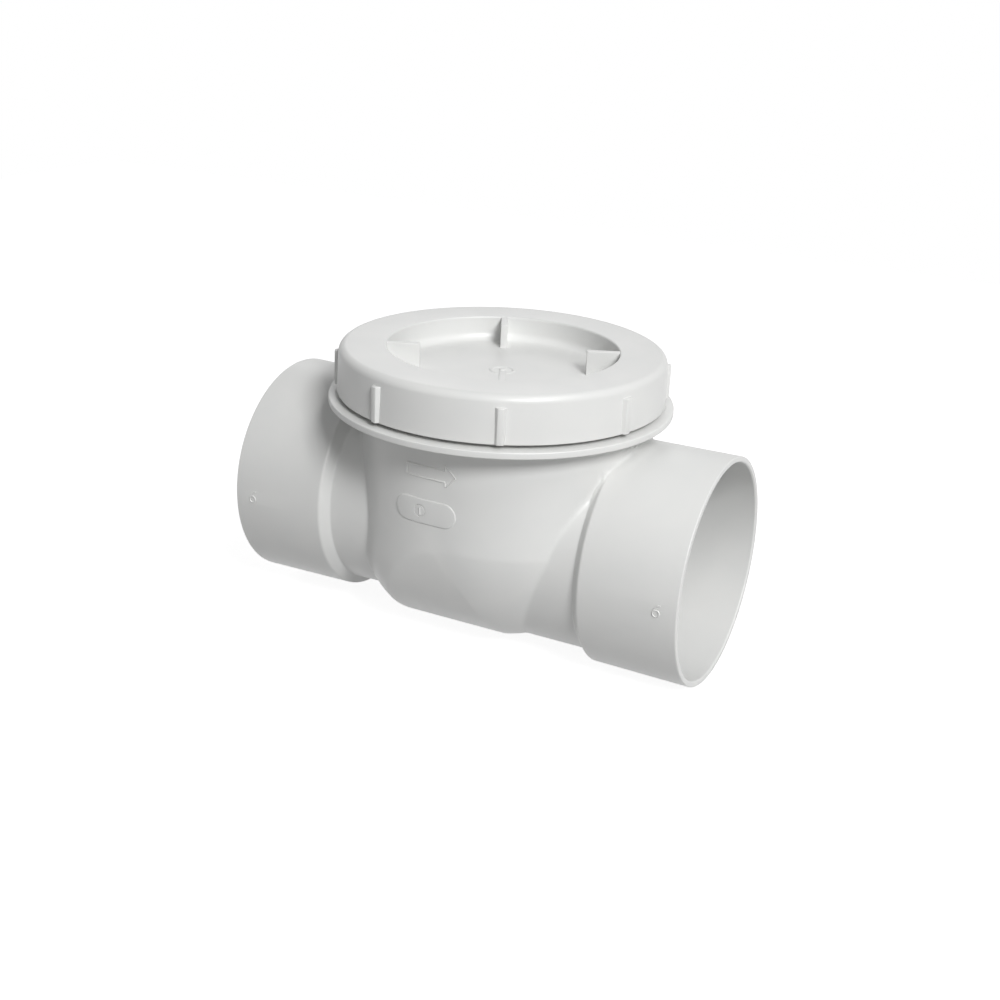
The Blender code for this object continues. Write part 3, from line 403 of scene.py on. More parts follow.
def rounded(corners, steps=6):
    """Outline through corners (r, z, radius), each rounded by an arc that touches both its sides.

    The arc starts at radius * tan(turn / 2) from the corner. The first and last stay sharp.
    """
    points = np.array([corner[:2] for corner in corners], dtype=float)
    outline = [points[:1]]
    for before, here, after, corner in zip(points, points[1:], points[2:], corners[1:]):
        back = (before - here) / np.linalg.norm(before - here)
        on = (after - here) / np.linalg.norm(after - here)
        half = math.acos(np.clip(back @ on, -1.0, 1.0)) / 2
        if corner[2] == 0 or half > math.pi / 2 - 1e-4:
            outline.append(here[None, :])
            continue
        middle = here + (back + on) / np.linalg.norm(back + on) * corner[2] / math.sin(half)
        start = here + back * corner[2] / math.tan(half) - middle
        end = here + on * corner[2] / math.tan(half) - middle
        sweep = math.atan2(start[0] * end[1] - start[1] * end[0], start @ end)
        turn = sweep * np.linspace(0.0, 1.0, steps + 1)
        arc_r = middle[0] + start[0] * np.cos(turn) - start[1] * np.sin(turn)
        arc_z = middle[1] + start[0] * np.sin(turn) + start[1] * np.cos(turn)
        outline.append(np.stack([arc_r, arc_z], axis=1))
    outline.append(points[-1:])
    return np.concatenate(outline)


def turned(name, outline, matrix, steps=ROUND_STEPS, swell=0.0):
    """Solid of revolution about Z: (r cos a, r sin a, z) for each outline point and angle, with
    the swell, a number or a grid, added to r. An outline off the axis is closed into a ring."""
    around = np.linspace(0.0, math.tau, steps, endpoint=False)
    r = np.repeat(outline[:, :1], steps, axis=1) + swell
    z = np.repeat(outline[:, 1:], steps, axis=1)
    points = np.stack([r * np.cos(around), r * np.sin(around), z], axis=-1)
    return surface(name, points, close_rows=outline[:, 0].min() > TINY, matrix=matrix)


def rounded_block(name, low, high, radius, matrix=None, steps=3, pinch=0.0):
    """Box with rounded edges: sign(n) * (half size - radius) + radius * n over directions n.

    Its X is narrowed by the share pinch, growing from none at its high Y to all at its low Y.
    """
    low, high = np.array(low, float), np.array(high, float)
    half = (high - low) / 2 - radius
    quarter = np.linspace(0.0, math.pi / 2, steps + 1)
    around = np.concatenate([quarter + k * math.pi / 2 for k in range(4)])
    sign_x = np.repeat([1.0, -1.0, -1.0, 1.0], steps + 1)
    sign_y = np.repeat([1.0, 1.0, -1.0, -1.0], steps + 1)
    rise = np.concatenate([quarter - math.pi / 2, quarter])
    sign_z = np.repeat([-1.0, 1.0], steps + 1)
    x = sign_x * half[0] + radius * np.cos(rise)[:, None] * np.cos(around)
    y = sign_y * half[1] + radius * np.cos(rise)[:, None] * np.sin(around)
    z = np.repeat((sign_z * half[2] + radius * np.sin(rise))[:, None], len(around), axis=1)
    sides = np.stack([x, y, z], axis=-1)
    foot = np.zeros((1, len(around), 3))
    foot[..., 2] = sides[0, 0, 2]
    head = np.zeros((1, len(around), 3))
    head[..., 2] = sides[-1, 0, 2]
    points = np.concatenate([foot, sides, head])
    points[..., 0] *= 1.0 - pinch * (0.5 - points[..., 1] / (high[1] - low[1]))
    return surface(name, points + (low + high) / 2, matrix=matrix)


def carved(base, joined=(), cut=()):
    """The base mesh with meshes joined to it and then cut from it, by Booleans applied here."""
    thing = bpy.data.objects.new("carved", base)
    bpy.context.scene.collection.objects.link(thing)
    tools = []
    for operation, meshes in (("UNION", joined), ("DIFFERENCE", cut)):
        for mesh in meshes:
            tool = bpy.data.objects.new("tool", mesh)
            bpy.context.scene.collection.objects.link(tool)
            tools.append(tool)
            step = thing.modifiers.new("carve", "BOOLEAN")
            step.operation = operation
            step.solver = "MANIFOLD"
            step.object = tool
    bpy.context.view_layer.update()
    graph = bpy.context.evaluated_depsgraph_get()
    result = bpy.data.meshes.new_from_object(thing.evaluated_get(graph))
    for used in [thing, *tools]:
        bpy.data.objects.remove(used)
    return result


def piece(name, mesh, material, body, nodes):
    """Shows a mesh as a piece that rides on a body and stands for CAD nodes."""
    mesh.name = name
    mesh.materials.clear()
    mesh.materials.append(material)
    mesh.shade_smooth()
    mesh.set_sharp_from_angle(angle=SHARP_EDGE)
    thing = bpy.data.objects.new(name, mesh)
    bpy.context.scene.collection.objects.link(thing)
    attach(thing, body)
    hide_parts(*nodes)


def add_node(tree, kind, settings=None, inputs=None, links=None):
    """Adds a shader node with its settings, its input values, and links from sockets to inputs."""
    node = tree.nodes.new(kind)
    for key, value in (settings or {}).items():
        setattr(node, key, value)
    for key, value in (inputs or {}).items():
        node.inputs[key].default_value = value
    for key, socket in (links or {}).items():
        tree.links.new(socket, node.inputs[key])
    return node


def new_material(name):
    """An empty material with its output node, as (material, node tree, output)."""
    material = bpy.data.materials.new(name)
    material.use_nodes = True
    material.node_tree.nodes.clear()
    output = add_node(material.node_tree, "ShaderNodeOutputMaterial")
    return material, material.node_tree, output


def moulded_pvc(name, base, flow):
    """Injection-moulded PVC: an even satin skin. The eye gets soft broad highlights that waver
    a little over faint sink marks, and pale flow marks that are barely darker than the rest."""
    if name in bpy.data.materials:
        return bpy.data.materials[name]
    material, tree, output = new_material(name)
    place = add_node(tree, "ShaderNodeTexCoord").outputs["Object"]
    # Flow marks are about 40 mm long.
    marks = add_node(
        tree, "ShaderNodeTexNoise",
        inputs={"Scale": 25.0, "Detail": 3.0, "Roughness": 0.5, "Distortion": 0.6},
        links={"Vector": place},
    )
    tint = add_node(
        tree, "ShaderNodeMix", {"data_type": "RGBA"},
        {"A": (*base, 1.0), "B": (*flow, 1.0)}, {"Factor": marks.outputs["Fac"]},
    )
    # Sink marks are about 15 mm wide.
    sink = add_node(
        tree, "ShaderNodeTexNoise", inputs={"Scale": 66.0, "Detail": 2.0}, links={"Vector": place}
    )
    # The skin's real grain is about 0.1 mm, drawn here at 0.8 mm so that it shows.
    grain = add_node(
        tree, "ShaderNodeTexNoise", inputs={"Scale": 1250.0, "Detail": 2.0},
        links={"Vector": place},
    )
    wavy = add_node(
        tree, "ShaderNodeBump", inputs={"Strength": 0.10, "Distance": 0.0006},
        links={"Height": sink.outputs["Fac"]},
    )
    skin = add_node(
        tree, "ShaderNodeBump", inputs={"Strength": 0.12, "Distance": 0.00006},
        links={"Height": grain.outputs["Fac"], "Normal": wavy.outputs["Normal"]},
    )
    gloss = add_node(
        tree, "ShaderNodeMapRange", inputs={"To Min": 0.30, "To Max": 0.42},
        links={"Value": marks.outputs["Fac"]},
    )
    shader = add_node(
        tree, "ShaderNodeBsdfPrincipled",
        inputs={"IOR": 1.53},
        links={
            "Base Color": tint.outputs["Result"],
            "Roughness": gloss.outputs["Result"],
            "Normal": skin.outputs["Normal"],
        },
    )
    tree.links.new(shader.outputs["BSDF"], output.inputs["Surface"])
    return material


def white_pvc():
    """Moulded PVC of the housing and the cap."""
    finishes = bpy.context.scene.valve_finishes
    return moulded_pvc("moulded_white_PVC", finishes.white, finishes.white_flow)


def grey_pvc():
    """Moulded PVC of the seat, the bracket and the flapper."""
    finishes = bpy.context.scene.valve_finishes
    return moulded_pvc("moulded_grey_PVC", finishes.grey, finishes.grey_flow)


def nitrile_rubber():
    """Moulded nitrile rubber: nearly black and dull, with a fine dusty bloom."""
    name = "moulded_nitrile_rubber"
    if name in bpy.data.materials:
        return bpy.data.materials[name]
    base = bpy.context.scene.valve_finishes.rubber
    material, tree, output = new_material(name)
    place = add_node(tree, "ShaderNodeTexCoord").outputs["Object"]
    bloom = add_node(
        tree, "ShaderNodeTexNoise", inputs={"Scale": 180.0, "Detail": 5.0}, links={"Vector": place}
    )
    dusty = [c * 1.8 + 0.004 for c in base]
    tint = add_node(
        tree, "ShaderNodeMix", {"data_type": "RGBA"},
        {"A": (*base, 1.0), "B": (*dusty, 1.0)}, {"Factor": bloom.outputs["Fac"]},
    )
    skin = add_node(
        tree, "ShaderNodeBump", inputs={"Strength": 0.2, "Distance": 0.0001},
        links={"Height": bloom.outputs["Fac"]},
    )
    shader = add_node(
        tree, "ShaderNodeBsdfPrincipled", inputs={"Roughness": 0.62, "IOR": 1.52},
        links={"Base Color": tint.outputs["Result"], "Normal": skin.outputs["Normal"]},
    )
    tree.links.new(shader.outputs["BSDF"], output.inputs["Surface"])
    return material


def turned_steel():
    """Turned stainless steel: bright grey metal with fine tool rings that blur its highlights."""
    name = "turned_stainless_steel"
    if name in bpy.data.materials:
        return bpy.data.materials[name]
    base = bpy.context.scene.valve_finishes.steel
    material, tree, output = new_material(name)
    place = add_node(tree, "ShaderNodeTexCoord").outputs["Object"]
    rings = add_node(
        tree, "ShaderNodeTexNoise", inputs={"Scale": 900.0, "Detail": 4.0}, links={"Vector": place}
    )
    gloss = add_node(
        tree, "ShaderNodeMapRange", inputs={"To Min": 0.22, "To Max": 0.40},
        links={"Value": rings.outputs["Fac"]},
    )
    skin = add_node(
        tree, "ShaderNodeBump", inputs={"Strength": 0.15, "Distance": 0.00005},
        links={"Height": rings.outputs["Fac"]},
    )
    shader = add_node(
        tree, "ShaderNodeBsdfPrincipled", inputs={"Metallic": 1.0, "Base Color": (*base, 1.0)},
        links={"Roughness": gloss.outputs["Result"], "Normal": skin.outputs["Normal"]},
    )
    tree.links.new(shader.outputs["BSDF"], output.inputs["Surface"])
    return material


def hub_profile(sizes):
    """Outside of a hub and its barrel: the distance in from the mouth, and the radius there."""
    back_radius = sizes.hub_radius - sizes.hub_draft * sizes.hub_length
    outline = rounded([
        (0.0, 0.0, 0.0),
        (sizes.hub_radius, 0.0, sizes.rim_rounding),
        (back_radius, sizes.hub_length, sizes.hub_shoulder / 2),
        (sizes.barrel_radius, sizes.hub_length + sizes.hub_shoulder, sizes.hub_shoulder / 3),
        (sizes.barrel_radius, CAP_AXIS_X, 0.0),
    ])
    return rising(outline[1:, 1]), outline[1:, 0]


def socket_profile(sizes):
    """Inside of a socket and its bore: the distance in from the mouth, and the radius there."""
    bore = sizes.barrel_radius - sizes.wall
    rim = sizes.rim_rounding
    outline = rounded([
        (sizes.socket_radius + rim, -OVERRUN, 0.0),
        (sizes.socket_radius + rim, 0.0, 0.0),
        (sizes.socket_radius, rim, rim),
        (sizes.socket_radius, sizes.socket_depth, rim),
        (bore, sizes.socket_depth, rim),
        (bore, CAP_AXIS_X, 0.0),
    ])
    return rising(outline[:, 1]), outline[:, 0]


def rising(values):
    """The values with a hair's run added at each, so that a step between two never stands still."""
    return np.maximum.accumulate(values) + STEP_RUN * np.arange(len(values))


def round_convex(first, second, cosine, radius):
    """Distance to what two solids share, with the edge between them rounded to the radius.

    With a and b the distances plus the radius, and c the cosine between the ways they grow,
    it is sqrt((a^2 + b^2 - 2 a b c) / (1 - c^2)) - radius between the faces' two normals.
    """
    a = first + radius
    b = second + radius
    c = np.clip(cosine, -1.0, 1.0 - 1e-6)
    edge = np.sqrt((a**2 + b**2 - 2 * a * b * c) / (1 - c**2)) - radius
    return np.where((a > c * b) & (b > c * a), edge, np.maximum(first, second))


def round_concave(first, second, cosine, radius):
    """Distance to two solids joined with a fillet between them: the convex edge, inside out."""
    return -round_convex(-first, -second, cosine, radius)


def ellipse_distance(out, down, run, rise):
    """Distance to an ellipse's curve near it, and the two parts of the way in which it grows.

    With s = hypot(out / run, down / rise), the distance is (s^2 - s) over the steepness of s^2.
    """
    size = np.maximum(np.hypot(out / run, down / rise), TINY)
    grows_out = out / run**2
    grows_down = down / rise**2
    steep = np.maximum(np.hypot(grows_out, grows_down), TINY / np.minimum(run, rise))
    return (size**2 - size) / steep, grows_out / steep, grows_down / steep


def chamber_distance(x, y, z, inset, sizes):
    """Below zero inside the chamber, or inside its wall if the inset is the wall's thickness.

    Seen from above it is a stretched circle. Its floor is a trough along X with an elliptic
    section, and the wall bends into the floor by part of an ellipse, long at the outlet's end
    and shorter in the heel at the inlet's. The edges between trough, wall and bend are soft.
    """
    radius = sizes.chamber_radius - inset
    floor = sizes.chamber_centre - radius
    along = x - CAP_AXIS_X
    across = np.hypot(along - np.clip(along, 0.0, sizes.chamber_stretch), y)
    share = eased(along / sizes.blend + BLEND_BEFORE)
    run = sizes.heel_run + (sizes.ball_run - sizes.heel_run) * share - inset
    rise = sizes.heel_rise + (sizes.ball_rise - sizes.heel_rise) * share - inset
    over = sizes.ball_over * share
    out = np.maximum(across - (radius - run), 0.0)
    down = np.maximum(floor + rise - z, 0.0)
    bend, bend_out, bend_down = ellipse_distance(out, down, run + over, rise)
    wall = across - radius
    side = round_convex(bend, wall, bend_out, sizes.trough_edge)
    on_wall = wall > bend
    side_out = np.where(on_wall, 1.0, bend_out)
    side_down = np.where(on_wall, 0.0, bend_down)
    depth = np.maximum(floor + sizes.trough_rise - inset - z, 0.0)
    trough, trough_out, trough_down = ellipse_distance(
        np.abs(y), depth, sizes.trough_half - inset, sizes.trough_rise - inset
    )
    beside = np.abs(y) / np.maximum(across, TINY)
    cosine = trough_out * side_out * beside + trough_down * side_down
    return round_convex(trough, side, cosine, sizes.trough_edge)


def pipe_distance(x, y, z, profile, sizes):
    """Below zero inside the inlet's pipe up to the cap's axis, and in the outlet's after it."""
    run, radius = profile
    inlet = np.hypot(y, z) - np.interp(x, run, radius)
    outlet = np.hypot(y, z + sizes.outlet_drop) - np.interp(BODY_LENGTH - x, run, radius)
    return np.where(x < CAP_AXIS_X, inlet, outlet)


def slope_cosine(first, second, x, y, z):
    """Cosine between the ways in which two distances grow, from small steps along X, Y and Z."""
    step = 1e-5
    moved = [(x + step, y, z), (x, y + step, z), (x, y, z + step)]
    slope_a = np.stack([first(*place) - first(x, y, z) for place in moved])
    slope_b = np.stack([second(*place) - second(x, y, z) for place in moved])
    sizes = np.linalg.norm(slope_a, axis=0) * np.linalg.norm(slope_b, axis=0)
    return (slope_a * slope_b).sum(axis=0) / np.maximum(sizes, TINY)


def outside_distance(x, y, z, profile, sizes):
    """Below zero inside the housing's outer form: pipes and chamber joined by a fillet."""
    def chamber(*place):
        """Distance to the chamber's outside."""
        return chamber_distance(*place, 0.0, sizes)

    def pipe(*place):
        """Distance to the pipes' outside."""
        return pipe_distance(*place, profile, sizes)

    cosine = slope_cosine(chamber, pipe, x, y, z)
    return round_concave(chamber(x, y, z), pipe(x, y, z), cosine, sizes.fillet)


def inside_distance(x, y, z, profile, sizes):
    """Below zero in the water's way: the sockets and bores, joined to the chamber's inside."""
    return np.minimum(
        chamber_distance(x, y, z, sizes.wall, sizes), pipe_distance(x, y, z, profile, sizes)
    )


def sections(profile, spans):
    """Places along X of a housing surface's sections: its hubs' from both mouths, and the spans."""
    middle = [np.linspace(*span) for span in spans]
    return np.unique(np.concatenate([profile[0], *middle, BODY_LENGTH - profile[0]]))


def rayed(name, distance, stations, rays, top, sizes):
    """Closed surface where a distance is zero: rays leave a centre line in each section across X.

    The centre line eases from the inlet's axis to the outlet's over the middle half of the
    length, and each ray's reach is halved again and again onto the surface. Nothing rises over
    the top height.
    """
    centre = -sizes.outlet_drop * eased(2 * stations / BODY_LENGTH - 0.5)
    around = np.linspace(0.0, math.tau, rays, endpoint=False)
    x = np.repeat(stations[:, None], rays, axis=1)
    middle_z = np.repeat(centre[:, None], rays, axis=1)
    near = np.zeros_like(x)
    far = np.full_like(x, 2 * sizes.chamber_radius)
    for _ in range(BISECTIONS):
        reach = (near + far) / 2
        y = reach * np.sin(around)
        z = middle_z - reach * np.cos(around)
        inside = np.maximum(distance(x, y, z), z - top) < 0
        near = np.where(inside, reach, near)
        far = np.where(inside, far, reach)
    points = np.stack([x, near * np.sin(around), middle_z - near * np.cos(around)], axis=-1)
    ends = points[[0, -1]]
    ends[..., 1] = 0.0
    ends[..., 2] = centre[[0, -1], None]
    return surface(name, np.concatenate([ends[:1], points, ends[1:]]))


def threaded(before, after, start, end, height, offset, steps, thread):
    """Outline with a threaded wall from start to end between two others, and its swell.

    The ridge is a wedge across each pitch of z / pitch - turn, rounded by a smooth step, and
    fades out at both ends of the wall.
    """
    z = np.arange(start, end, thread.row)
    wall = np.stack([np.full_like(z, before[-1, 0]), z], axis=1)
    around = np.linspace(0.0, math.tau, steps, endpoint=False)
    place = np.mod(z[:, None] / thread.pitch - around / math.tau + offset, 1.0) - 0.5
    flank = (thread.base - thread.crest) / 2
    wedge = eased((thread.base / 2 - np.abs(place) * thread.pitch) / flank)
    fade = np.clip((z - z[0]) / thread.run_out, 0.0, 1.0)
    fade = fade * np.clip((z[-1] - z) / thread.run_out, 0.0, 1.0)
    swell = np.zeros((len(before) + len(z) + len(after), steps))
    swell[len(before):len(before) + len(z)] = height * wedge * fade[:, None]
    return np.concatenate([before, wall, after]), swell


def about_cap(turn=0.0):
    """Matrix onto the cap's axis, turned about it."""
    return Matrix.Translation((CAP_AXIS_X, 0.0, 0.0)) @ Matrix.Rotation(turn, 4, "Z")


def neck_mesh(sizes, thread):
    """Flange with a rounded rim, and the neck over it with its helical thread."""
    top = sizes.flange_bottom + sizes.flange_thickness
    radius = sizes.neck_radius
    start, end = top + thread.neck_start, sizes.neck_top - thread.neck_end
    below = rounded([
        (0.0, sizes.flange_bottom, 0.0),
        (sizes.flange_radius, sizes.flange_bottom, sizes.flange_edge),
        (sizes.flange_radius, top, sizes.flange_edge),
        (radius, top, sizes.neck_foot),
        (radius, start - 2 * HAIR, 0.0),
    ], 8)
    above = rounded([
        (radius, end + HAIR, 0.0),
        (radius, sizes.neck_top, sizes.neck_edge),
        (radius - sizes.neck_wall / 8, sizes.neck_top, 0.0),
        (0.0, sizes.neck_top, 0.0),
    ], 3)
    outline, swell = threaded(below, above, start, end, thread.ridge, 0.0, ROUND_STEPS, thread)
    return turned("neck", outline, about_cap(), swell=swell)


def pill(run, half):
    """Closed flat outline of two half circles with straight lines between them."""
    around = np.linspace(-math.pi / 2, math.pi / 2, 25)
    right = np.stack([run + half * np.cos(around), half * np.sin(around)], axis=1)
    top = np.stack([np.linspace(run, -run, 14)[1:-1], np.full(12, half)], axis=1)
    return np.concatenate([right, top, -right, -top])


def pad(name, run, half, slope, out, place):
    """Raised pad with a pill outline: rings of the outline that narrow as they rise, smoothly
    by slope * (1 - cos a) while the face rises by sin a, over a root inside the wall."""
    turn = np.linspace(0.0, math.pi / 2, 5)
    narrow = np.concatenate([[0.0], slope * (1.0 - np.cos(turn)), [half]])
    rise = np.concatenate([[-out], out * np.sin(turn), [out]])
    flat = np.stack([pill(run, half - step) for step in narrow])
    flat[-1, :, 0] = np.clip(flat[-1, :, 0], -run, run)
    middle = flat[-1:].copy()
    points = np.concatenate([middle, flat])
    high = np.concatenate([[-out], rise])[:, None]
    return surface(name, place(points[..., 0], high, points[..., 1]))


def bead(name, line, width, height, place, closed=False):
    """Raised stroke along a flat line (s, t): at each point a ring of width / 2 * cos a across
    the line and height * sin a out of the face, shrunk to a point at an open line's ends."""
    if closed:
        ahead = np.roll(line, -1, axis=0) - np.roll(line, 1, axis=0)
        size = np.ones(len(line))
    else:
        ahead = np.gradient(line, axis=0)
        gone = np.concatenate([[0.0], np.cumsum(np.linalg.norm(np.diff(line, axis=0), axis=1))])
        end = np.clip(np.minimum(gone, gone[-1] - gone) / (width / 2), 0.0, 1.0)
        size = np.sqrt(1.0 - (1.0 - end) ** 2)
    ahead = ahead / np.linalg.norm(ahead, axis=1)[:, None]
    around = np.linspace(0.0, math.tau, 12, endpoint=False)
    across = size[:, None] * np.cos(around) * width / 2
    out = size[:, None] * np.sin(around) * height
    s = line[:, :1] - ahead[:, 1:] * across
    t = line[:, 1:] + ahead[:, :1] * across
    return surface(name, place(s, out, t), close_rows=closed)


def straight(start, end, stroke):
    """Line of points from start to end that is dense at both ends, for a bead's rounding."""
    span = np.linalg.norm(np.array(end) - np.array(start))
    near = stroke / 2 / span * np.linspace(0.0, 1.0, 5)
    share = np.unique(np.concatenate([near, np.linspace(near[-1], 1 - near[-1], 16), 1 - near]))
    return np.array(start) + share[:, None] * (np.array(end) - np.array(start))


def wall_place(sizes, start, level):
    """Lays (s, out, t) on the chamber's wall: s runs along its stretched circle from the front,
    t up and out away from it."""
    def place(s, out, t):
        """Points of one mark."""
        along = start + s
        straight_run = np.clip(along, 0.0, sizes.chamber_stretch)
        turn = (along - straight_run) / sizes.chamber_radius
        reach = sizes.chamber_radius + out
        x = CAP_AXIS_X + straight_run + reach * np.sin(turn)
        points = [x, -reach * np.cos(turn), level + t]
        return np.stack(np.broadcast_arrays(*points), axis=-1)
    return place


def hub_place(sizes, mouth, inward, away, axis_z):
    """Lays (s, out, t) on a hub's front, away from its mouth: s along X, t up round the hub."""
    def place(s, out, t):
        """Points of one mark."""
        reach = sizes.hub_radius - sizes.hub_draft * (away + inward * s) + out
        turn = t / sizes.hub_radius
        points = [mouth + inward * away + s, -reach * np.cos(turn), axis_z + reach * np.sin(turn)]
        return np.stack(np.broadcast_arrays(*points), axis=-1)
    return place


def wall_marks(sizes, marks):
    """Rounded plate, what the date insert raises on it, and the flow arrow over it; then what
    is cut: the insert's ring."""
    stroke, height = marks.stroke, marks.height
    half = marks.plate_width / 2
    run = marks.plate_length / 2 - half
    plate = wall_place(sizes, -marks.plate_place, marks.plate_level)
    arrow = wall_place(sizes, -marks.plate_place, marks.arrow_level)
    around = np.linspace(0.0, math.tau, 40, endpoint=False)
    ring = marks.date_radius * np.stack([np.cos(around), np.sin(around)], axis=1)
    ring[:, 0] -= marks.date_place
    hand = straight(
        (-marks.date_place, -marks.date_hand), (-marks.date_place, marks.date_hand), stroke
    )
    tail, tip, side = -marks.arrow_tail, marks.arrow_tip, marks.arrow_half
    neck, barb, soft = tip - marks.arrow_barb, marks.arrow_barb, stroke / 2
    shape = rounded([
        (0.0, side, 0.0), (tail, side, soft), (tail, -side, soft), (neck, -side, soft),
        (neck, -barb, soft), (tip, 0.0, soft), (neck, barb, soft), (neck, side, soft),
        (0.0, side, 0.0),
    ], 3)[:-1]

    def on_top(s, out, t):
        """Lays (s, out, t) on the plate's face."""
        return plate(s, out + marks.plate_height, t)

    raised = [
        pad("plate", run, half, marks.plate_slope, marks.plate_height, plate),
        bead("date_hand", hand, stroke, height, on_top),
        bead("flow_arrow", filled(shape), stroke, height, arrow, closed=True),
    ]
    return raised, [bead("date_ring", ring, stroke, height, on_top, closed=True)]


def filled(outline):
    """Closed outline with points added so that none lie more than 2 mm apart."""
    after = np.roll(outline, -1, axis=0)
    parts = []
    for here, there in zip(outline, after):
        steps = max(1, math.ceil(np.linalg.norm(there - here) / 0.002))
        parts.append(here + (there - here) * np.arange(steps)[:, None] / steps)
    return np.concatenate(parts)


def numeral_six(sizes, marks, mouth, inward, axis_z):
    """Pipe size on a hub: a ring for the six's bowl, and a bent stroke (a parabola) over it."""
    tall = marks.numeral
    stroke = marks.stroke * 0.8
    around = np.linspace(0.0, math.tau, 28, endpoint=False)
    bowl = tall * np.stack([0.27 * np.cos(around), 0.27 * np.sin(around) - 0.20], axis=1)
    share = np.linspace(0.0, 1.0, 22)[:, None]
    start, bend, end = np.array([(0.34, 0.5), (-0.16, 0.38), (-0.265, -0.17)]) * tall
    tail = (1 - share) ** 2 * start + 2 * share * (1 - share) * bend + share**2 * end
    place = hub_place(sizes, mouth, inward, marks.numeral_place, axis_z)
    return [
        bead("six_bowl", bowl, stroke, marks.height, place, closed=True),
        bead("six_tail", tail, stroke, marks.height, place),
    ]


class VALVE_OT_housing(Operator):
    """Moulded housing: two sockets on barrels, the chamber, the flange and the threaded neck"""

    bl_idname = "valve.housing"
    bl_label = "Housing"

    def execute(self, context):
        sizes = context.scene.valve_housing
        thread = context.scene.valve_thread
        outer = hub_profile(sizes)
        inner = socket_profile(sizes)
        stations = sections(outer, OUTER_SECTIONS)
        stations = stations[(stations >= 0.0) & (stations <= BODY_LENGTH)]
        stations = stations[np.concatenate([[True], np.diff(stations) > NEAREST_SECTIONS])]
        ledge = sizes.flange_bottom + sizes.ledge
        outside = rayed(
            "outside", lambda x, y, z: outside_distance(x, y, z, outer, sizes), stations,
            OUTER_RAYS, ledge, sizes,
        )
        inside = rayed(
            "inside", lambda x, y, z: inside_distance(x, y, z, inner, sizes),
            sections(inner, INNER_SECTIONS), INNER_RAYS, ledge + APART, sizes,
        )
        bore_radius = sizes.neck_radius - sizes.neck_wall
        bore = turned("bore", rounded([
            (0.0, ledge, 0.0),
            (bore_radius, ledge, sizes.ledge_foot),
            (bore_radius, sizes.neck_top, 0.0),
            (bore_radius + OVERRUN, sizes.neck_top + OVERRUN, 0.0),
            (0.0, sizes.neck_top + OVERRUN, 0.0),
        ]), about_cap())
        middle = sizes.neck_radius - sizes.neck_wall / 2
        half = sizes.groove_width / 2
        groove = turned("groove", rounded([
            (middle - half, sizes.neck_top + OVERRUN, 0.0),
            (middle - half, sizes.groove_floor, sizes.groove_foot),
            (middle + half, sizes.groove_floor, sizes.groove_foot),
            (middle + half, sizes.neck_top + OVERRUN, 0.0),
        ], 3), about_cap())
        web = rounded_block(
            "web",
            (sizes.hub_length - sizes.web_length / 2, -sizes.web_width / 2,
             sizes.socket_radius + APART),
            (sizes.hub_length + sizes.web_length / 2, sizes.web_width / 2,
             sizes.flange_bottom + sizes.flange_thickness / 2),
            sizes.web_edge,
        )
        marks = context.scene.valve_marks
        raised, sunk = wall_marks(sizes, marks)
        raised += numeral_six(sizes, marks, 0.0, 1.0, 0.0)
        raised += numeral_six(sizes, marks, BODY_LENGTH, -1.0, -sizes.outlet_drop)
        added = [neck_mesh(sizes, thread), web, *raised]
        mesh = carved(outside, added, [inside, bore, groove, *sunk])
        piece("moulded_housing", mesh, white_pvc(), "housing", ["valve_body"])
        return {"FINISHED"}


